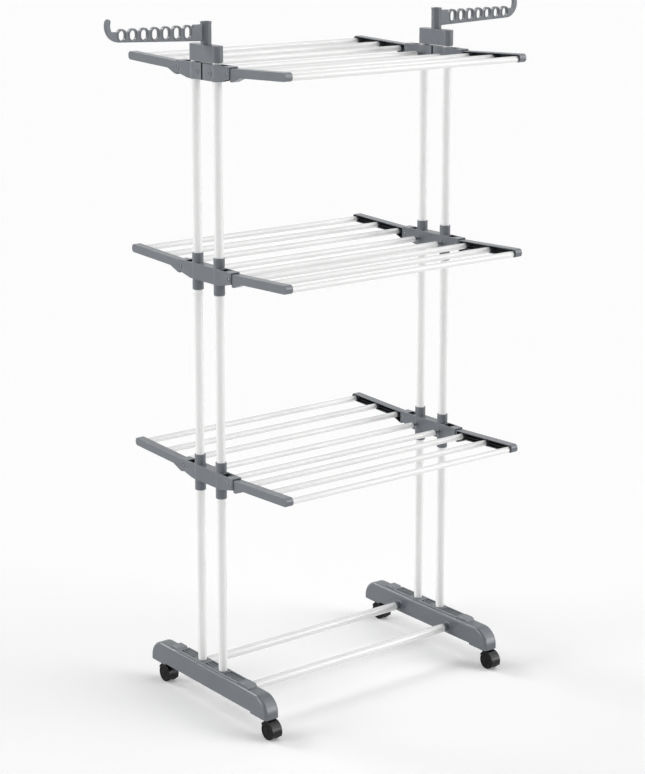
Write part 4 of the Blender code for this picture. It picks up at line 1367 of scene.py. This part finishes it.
def wheel_mesh(side):
    """One wheel on the axle along X: a shouldered tread round a recessed face with spokes."""
    near = WEB_WIDTH / 2 + WHEEL_GAP
    far = near + WHEEL_WIDTH
    shoulder = WHEEL_SHOULDER
    floor = far - WHEEL_RECESS
    lip = WHEEL_RECESS / 2
    profile = [(AXLE_RADIUS, near)]
    profile += arc((wheel_radius - INNER_SHOULDER, near + INNER_SHOULDER), INNER_SHOULDER,
                   -math.pi / 2, 0, RIM_STEPS)
    profile += arc((wheel_radius - shoulder, far - shoulder), shoulder, 0, math.pi / 2, RIM_STEPS)
    profile += [(WHEEL_RIM + lip, far), (WHEEL_RIM, far - lip / 2), (WHEEL_RIM - lip / 2, floor),
                (WHEEL_HUB + lip / 2, floor), (WHEEL_HUB, far - lip), (WHEEL_HUB - lip, far),
                (WHEEL_CAP + lip, far), (WHEEL_CAP, far - lip / 2),
                (WHEEL_CAP - lip / 2, far + lip / 2), (WHEEL_CAP / 2, far + lip)]
    wheel = turned(profile, ROUND_SIDES)
    spokes = []
    for number in range(SPOKE_COUNT):
        spoke = box((WHEEL_HUB - lip, -SPOKE_WIDTH / 2, floor - lip),
                    (WHEEL_RIM, SPOKE_WIDTH / 2, far - lip))
        spoke.transform(Matrix.Rotation(math.tau * number / SPOKE_COUNT, 4, "Z"))
        spokes.append(spoke)
    mesh = join([wheel, *spokes])
    mesh.transform(Matrix.Rotation(side * math.pi / 2, 4, "Y"))
    return mesh


def wheels_mesh(sizes):
    """The two wheels of a caster and their axle, about the axle's middle."""
    reach = WEB_WIDTH / 2 + WHEEL_GAP + WHEEL_WIDTH / 2
    axle = rod((-reach, 0, 0), (reach, 0, 0), AXLE_RADIUS - PLAY, sides=PIN_SIDES)
    return worked(join([wheel_mesh(-1), wheel_mesh(1), axle]), [], sizes.edge_radius / 2)


class RACK_OT_casters(bpy.types.Operator):
    """Makes the four casters, each a hood on its stem and a pair of wheels"""
    bl_idname = "rack.casters"
    bl_label = "Casters"

    def execute(self, context):
        sizes = context.scene.rack_sizes
        hood, wheels = hood_mesh(sizes), wheels_mesh(sizes)
        for end in ENDS:
            for name in SIDES:
                caster = f"caster_{end}_{name}"
                swivel, roll = joint_place(f"{caster}_swivel"), joint_place(f"{caster}_roll")
                stand_for(f"{caster}_hood", hood, "black_plastic", "moulding",
                          Matrix.Translation((swivel.x, swivel.y, 0)))
                stand_for(f"{caster}_wheels", wheels, "tyre_black", "pair",
                          Matrix.Translation((swivel.x, roll.y, wheel_radius)))
        return {"FINISHED"}


# ---- screws and rivets


def rivet_head():
    """A domed rivet head on the plane Z = 0."""
    dome = arc((0, 0), 1, 0, math.pi / 2, RIM_STEPS * 2)[:-1]
    profile = [(RIVET_RADIUS, -PLAY)] + [(RIVET_RADIUS * c, RIVET_HEIGHT * s) for c, s in dome]
    return turned(profile, PIN_SIDES)


def screw_head(sizes):
    """A pan-head screw with a cross recess on the plane Z = 0."""
    rim = SCREW_HEIGHT / 2
    profile = [(SCREW_RADIUS, -PLAY)]
    profile += arc((SCREW_RADIUS - rim, SCREW_HEIGHT - rim), rim, 0, math.pi / 2, RIM_STEPS)
    head = turned(profile, PIN_SIDES)
    reach, half = SCREW_RADIUS * 2 / 3, SCREW_SLOT / 2
    cross = [box((-reach, -half, rim), (reach, half, 2 * SCREW_HEIGHT)),
             box((-half, -reach, rim), (half, reach, 2 * SCREW_HEIGHT))]
    return worked(head, [cut(cross[0]), cut(cross[1])], sizes.edge_radius / 5)


def in_ring(head):
    """A steel head inside a raised ring of the moulding."""
    half = RING_WIDTH / 2
    centre = RING_RADIUS - half
    dome = arc((0, 0), 1, 0, math.pi, RIM_STEPS * 2)
    profile = [(centre + half, -PLAY)] + [(centre + half * c, RING_HEIGHT * s) for c, s in dome]
    mesh = join([turned(profile + [(centre - half, -PLAY)], ROUND_SIDES, closed=True), head])
    for name in ("grey_plastic", "plated_steel"):
        mesh.materials.append(finish(name))
    for face in mesh.polygons:
        face.material_index = int(face.center.xy.length < centre - half)
    mesh.set_sharp_from_angle(angle=SHARP_ANGLE)
    return mesh


def sideways(mesh):
    """A mesh on the plane Z = 0 turned onto the plane X = 0, looking to +X."""
    mesh.transform(Matrix.Rotation(math.pi / 2, 4, "Y"))
    return mesh


def fasten(name, mesh, body, where, look):
    """A head on a face that looks to +X or -X."""
    show(name, mesh, "plated_steel", body, Matrix.Translation(where) @ turn_for(-look))


class RACK_OT_screws_and_rivets(bpy.types.Operator):
    """Makes the rivets at the wings' pivots and the screws of the upper hubs and hook arms"""
    bl_idname = "rack.screws_and_rivets"
    bl_label = "Screws and Rivets"

    def execute(self, context):
        sizes = context.scene.rack_sizes
        rivet, screw = sideways(in_ring(rivet_head())), sideways(in_ring(screw_head(sizes)))
        post_screw = sideways(screw_head(sizes))
        for name, side in SIDES.items():
            for tier, height in tier_heights.items():
                for look, word in ((side, "outer"), (-side, "inner")):
                    x = side * tower_x + look * HUB_WIDTH / 2
                    for end, way in ENDS.items():
                        fasten(f"rivet_{tier}_{end}_{name}_{word}", rivet, "rack",
                               (x, way * pivot_y, height + PIVOT_RISE), look)
                    for number, (y, rise) in enumerate(SCREW_PLACES if tier == "upper" else ()):
                        fasten(f"screw_{name}_{word}_{number + 1}", screw, "rack",
                               (x, y, height + rise), look)
            fasten(f"screw_arm_{name}", post_screw, f"hook_arm_{name}",
                   (side * (tower_x - ARM_SLEEVE_OD / 2), 0, arm_bottom + POST_SCREW_RISE), -side)
        return {"FINISHED"}


# ---- stage


class RACK_OT_stage(bpy.types.Operator):
    """Makes the floor, the light and the camera"""
    bl_idname = "rack.stage"
    bl_label = "Stage"

    def execute(self, context):
        scene = context.scene
        settings, colours = scene.rack_stage, scene.rack_colours
        scene.view_settings.view_transform = "Standard"
        lay_floor(colours)
        light_world(settings, colours)
        for name, (towards, width) in LIGHTS.items():
            hang_light(f"{name}_light", towards, getattr(settings, f"{name}_strength"), width)
        stand_camera(settings)
        return {"FINISHED"}


def seen_rays(tree):
    """One for the rays by which the camera sees a surface: straight, mirrored or through glass."""
    rays = tree.nodes.new("ShaderNodeLightPath").outputs
    mirrored = maths(tree, "MAXIMUM", rays["Is Glossy Ray"], rays["Is Transmission Ray"])
    return maths(tree, "MAXIMUM", rays["Is Camera Ray"], mirrored)


def lay_floor(colours):
    """A wide pale floor."""
    shape = bmesh.new()
    bmesh.ops.create_circle(shape, cap_ends=True, segments=96, radius=FLOOR_RADIUS)
    mesh = bpy.data.meshes.new("floor")
    shape.to_mesh(mesh)
    shape.free()
    floor = bpy.data.objects.new("floor", mesh)
    bpy.context.scene.collection.objects.link(floor)
    work = Finish("floor", colours.backdrop)
    clouds = noise(work.tree, object_place(work.tree), 3.0, detail=3.0)
    work.shade(spread(work.tree, clouds, *BLOTCH_RANGE), 0.995, 1.0)
    lift = times(work.tree, seen_rays(work.tree), FLOOR_LIFT)
    feed(work.tree, work.inputs["Emission Strength"], lift)
    mesh.materials.append(work.done(Roughness=0.9, Specular_IOR_Level=0.0,
                                    Emission_Color=(1.0, 1.0, 1.0, 1.0)))


def light_world(settings, colours):
    """Even light from all sides; the camera and reflections see the backdrop's colour."""
    world = bpy.data.worlds.new("studio")
    bpy.context.scene.world = world
    world.use_nodes = True
    tree = world.node_tree
    tree.nodes.clear()
    fill = tree.nodes.new("ShaderNodeBackground")
    fill.inputs["Strength"].default_value = settings.fill_strength
    shown = tree.nodes.new("ShaderNodeBackground")
    shown.inputs["Color"].default_value = (*colours.backdrop, 1.0)
    both = tree.nodes.new("ShaderNodeMixShader")
    tree.links.new(seen_rays(tree), both.inputs["Fac"])
    tree.links.new(fill.outputs[0], both.inputs[1])
    tree.links.new(shown.outputs[0], both.inputs[2])
    tree.links.new(both.outputs[0], tree.nodes.new("ShaderNodeOutputWorld").inputs["Surface"])


def hang_light(name, towards, strength, width):
    """A soft distant light that shines from a direction."""
    data = bpy.data.lights.new(name, "SUN")
    data.energy = strength
    data.angle = math.radians(width)
    lamp = bpy.data.objects.new(name, data)
    bpy.context.scene.collection.objects.link(lamp)
    lamp.location = towards
    lamp.rotation_euler = Vector(towards).to_track_quat("Z", "Y").to_euler()


def stand_camera(settings):
    """The camera at the photograph's angle."""
    data = bpy.data.cameras.new("camera")
    data.sensor_fit = "AUTO"
    data.sensor_width = SENSOR_WIDTH
    data.lens = settings.focal_pixels / max(IMAGE_SIZE) * SENSOR_WIDTH
    data.shift_y = settings.shift_pixels / max(IMAGE_SIZE)
    camera = bpy.data.objects.new("camera", data)
    bpy.context.scene.collection.objects.link(camera)
    turn, lift = settings.azimuth, settings.elevation
    back = Vector((math.sin(turn) * math.cos(lift), -math.cos(turn) * math.cos(lift),
                   math.sin(lift)))
    aim = (-back).to_track_quat("-Z", "Y").to_matrix().to_4x4()
    camera.matrix_world = (Matrix.Translation(settings.camera_place) @ aim
                           @ Matrix.Rotation(settings.roll, 4, "Z"))
    bpy.context.scene.camera = camera


class VIEW3D_PT_drying_rack(bpy.types.Panel):
    """Lists the rack's groups of pieces in the sidebar"""
    bl_label = "Drying Rack"
    bl_space_type = "VIEW_3D"
    bl_region_type = "UI"
    bl_category = "Drying Rack"

    def draw(self, context):
        for step in STEPS:
            self.layout.operator(step.bl_idname)
        for setting in SETTINGS:
            group = getattr(context.scene, setting)
            column = self.layout.box()
            for name in group.bl_rna.properties.keys():
                if name not in ("rna_type", "name"):
                    column.prop(group, name)


STEPS = (RACK_OT_tubes, RACK_OT_feet, RACK_OT_hubs, RACK_OT_wing_brackets, RACK_OT_top_blocks,
         RACK_OT_hook_arms, RACK_OT_casters, RACK_OT_screws_and_rivets, RACK_OT_stage)
CLASSES = (RackSizes, RackColours, StageSettings, *STEPS, VIEW3D_PT_drying_rack)
SETTINGS = {"rack_sizes": RackSizes, "rack_colours": RackColours, "rack_stage": StageSettings}


def register():
    """Registers the classes and gives each scene its settings."""
    for item in CLASSES:
        bpy.utils.register_class(item)
    for name, group in SETTINGS.items():
        setattr(bpy.types.Scene, name, PointerProperty(type=group))


def unregister():
    """Takes the settings and the classes away again."""
    for name in SETTINGS:
        delattr(bpy.types.Scene, name)
    for item in reversed(CLASSES):
        bpy.utils.unregister_class(item)


def main():
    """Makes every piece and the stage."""
    register()
    for step in STEPS:
        area, name = step.bl_idname.split(".")
        getattr(getattr(bpy.ops, area), name)()


if __name__ == "__main__":
    main()
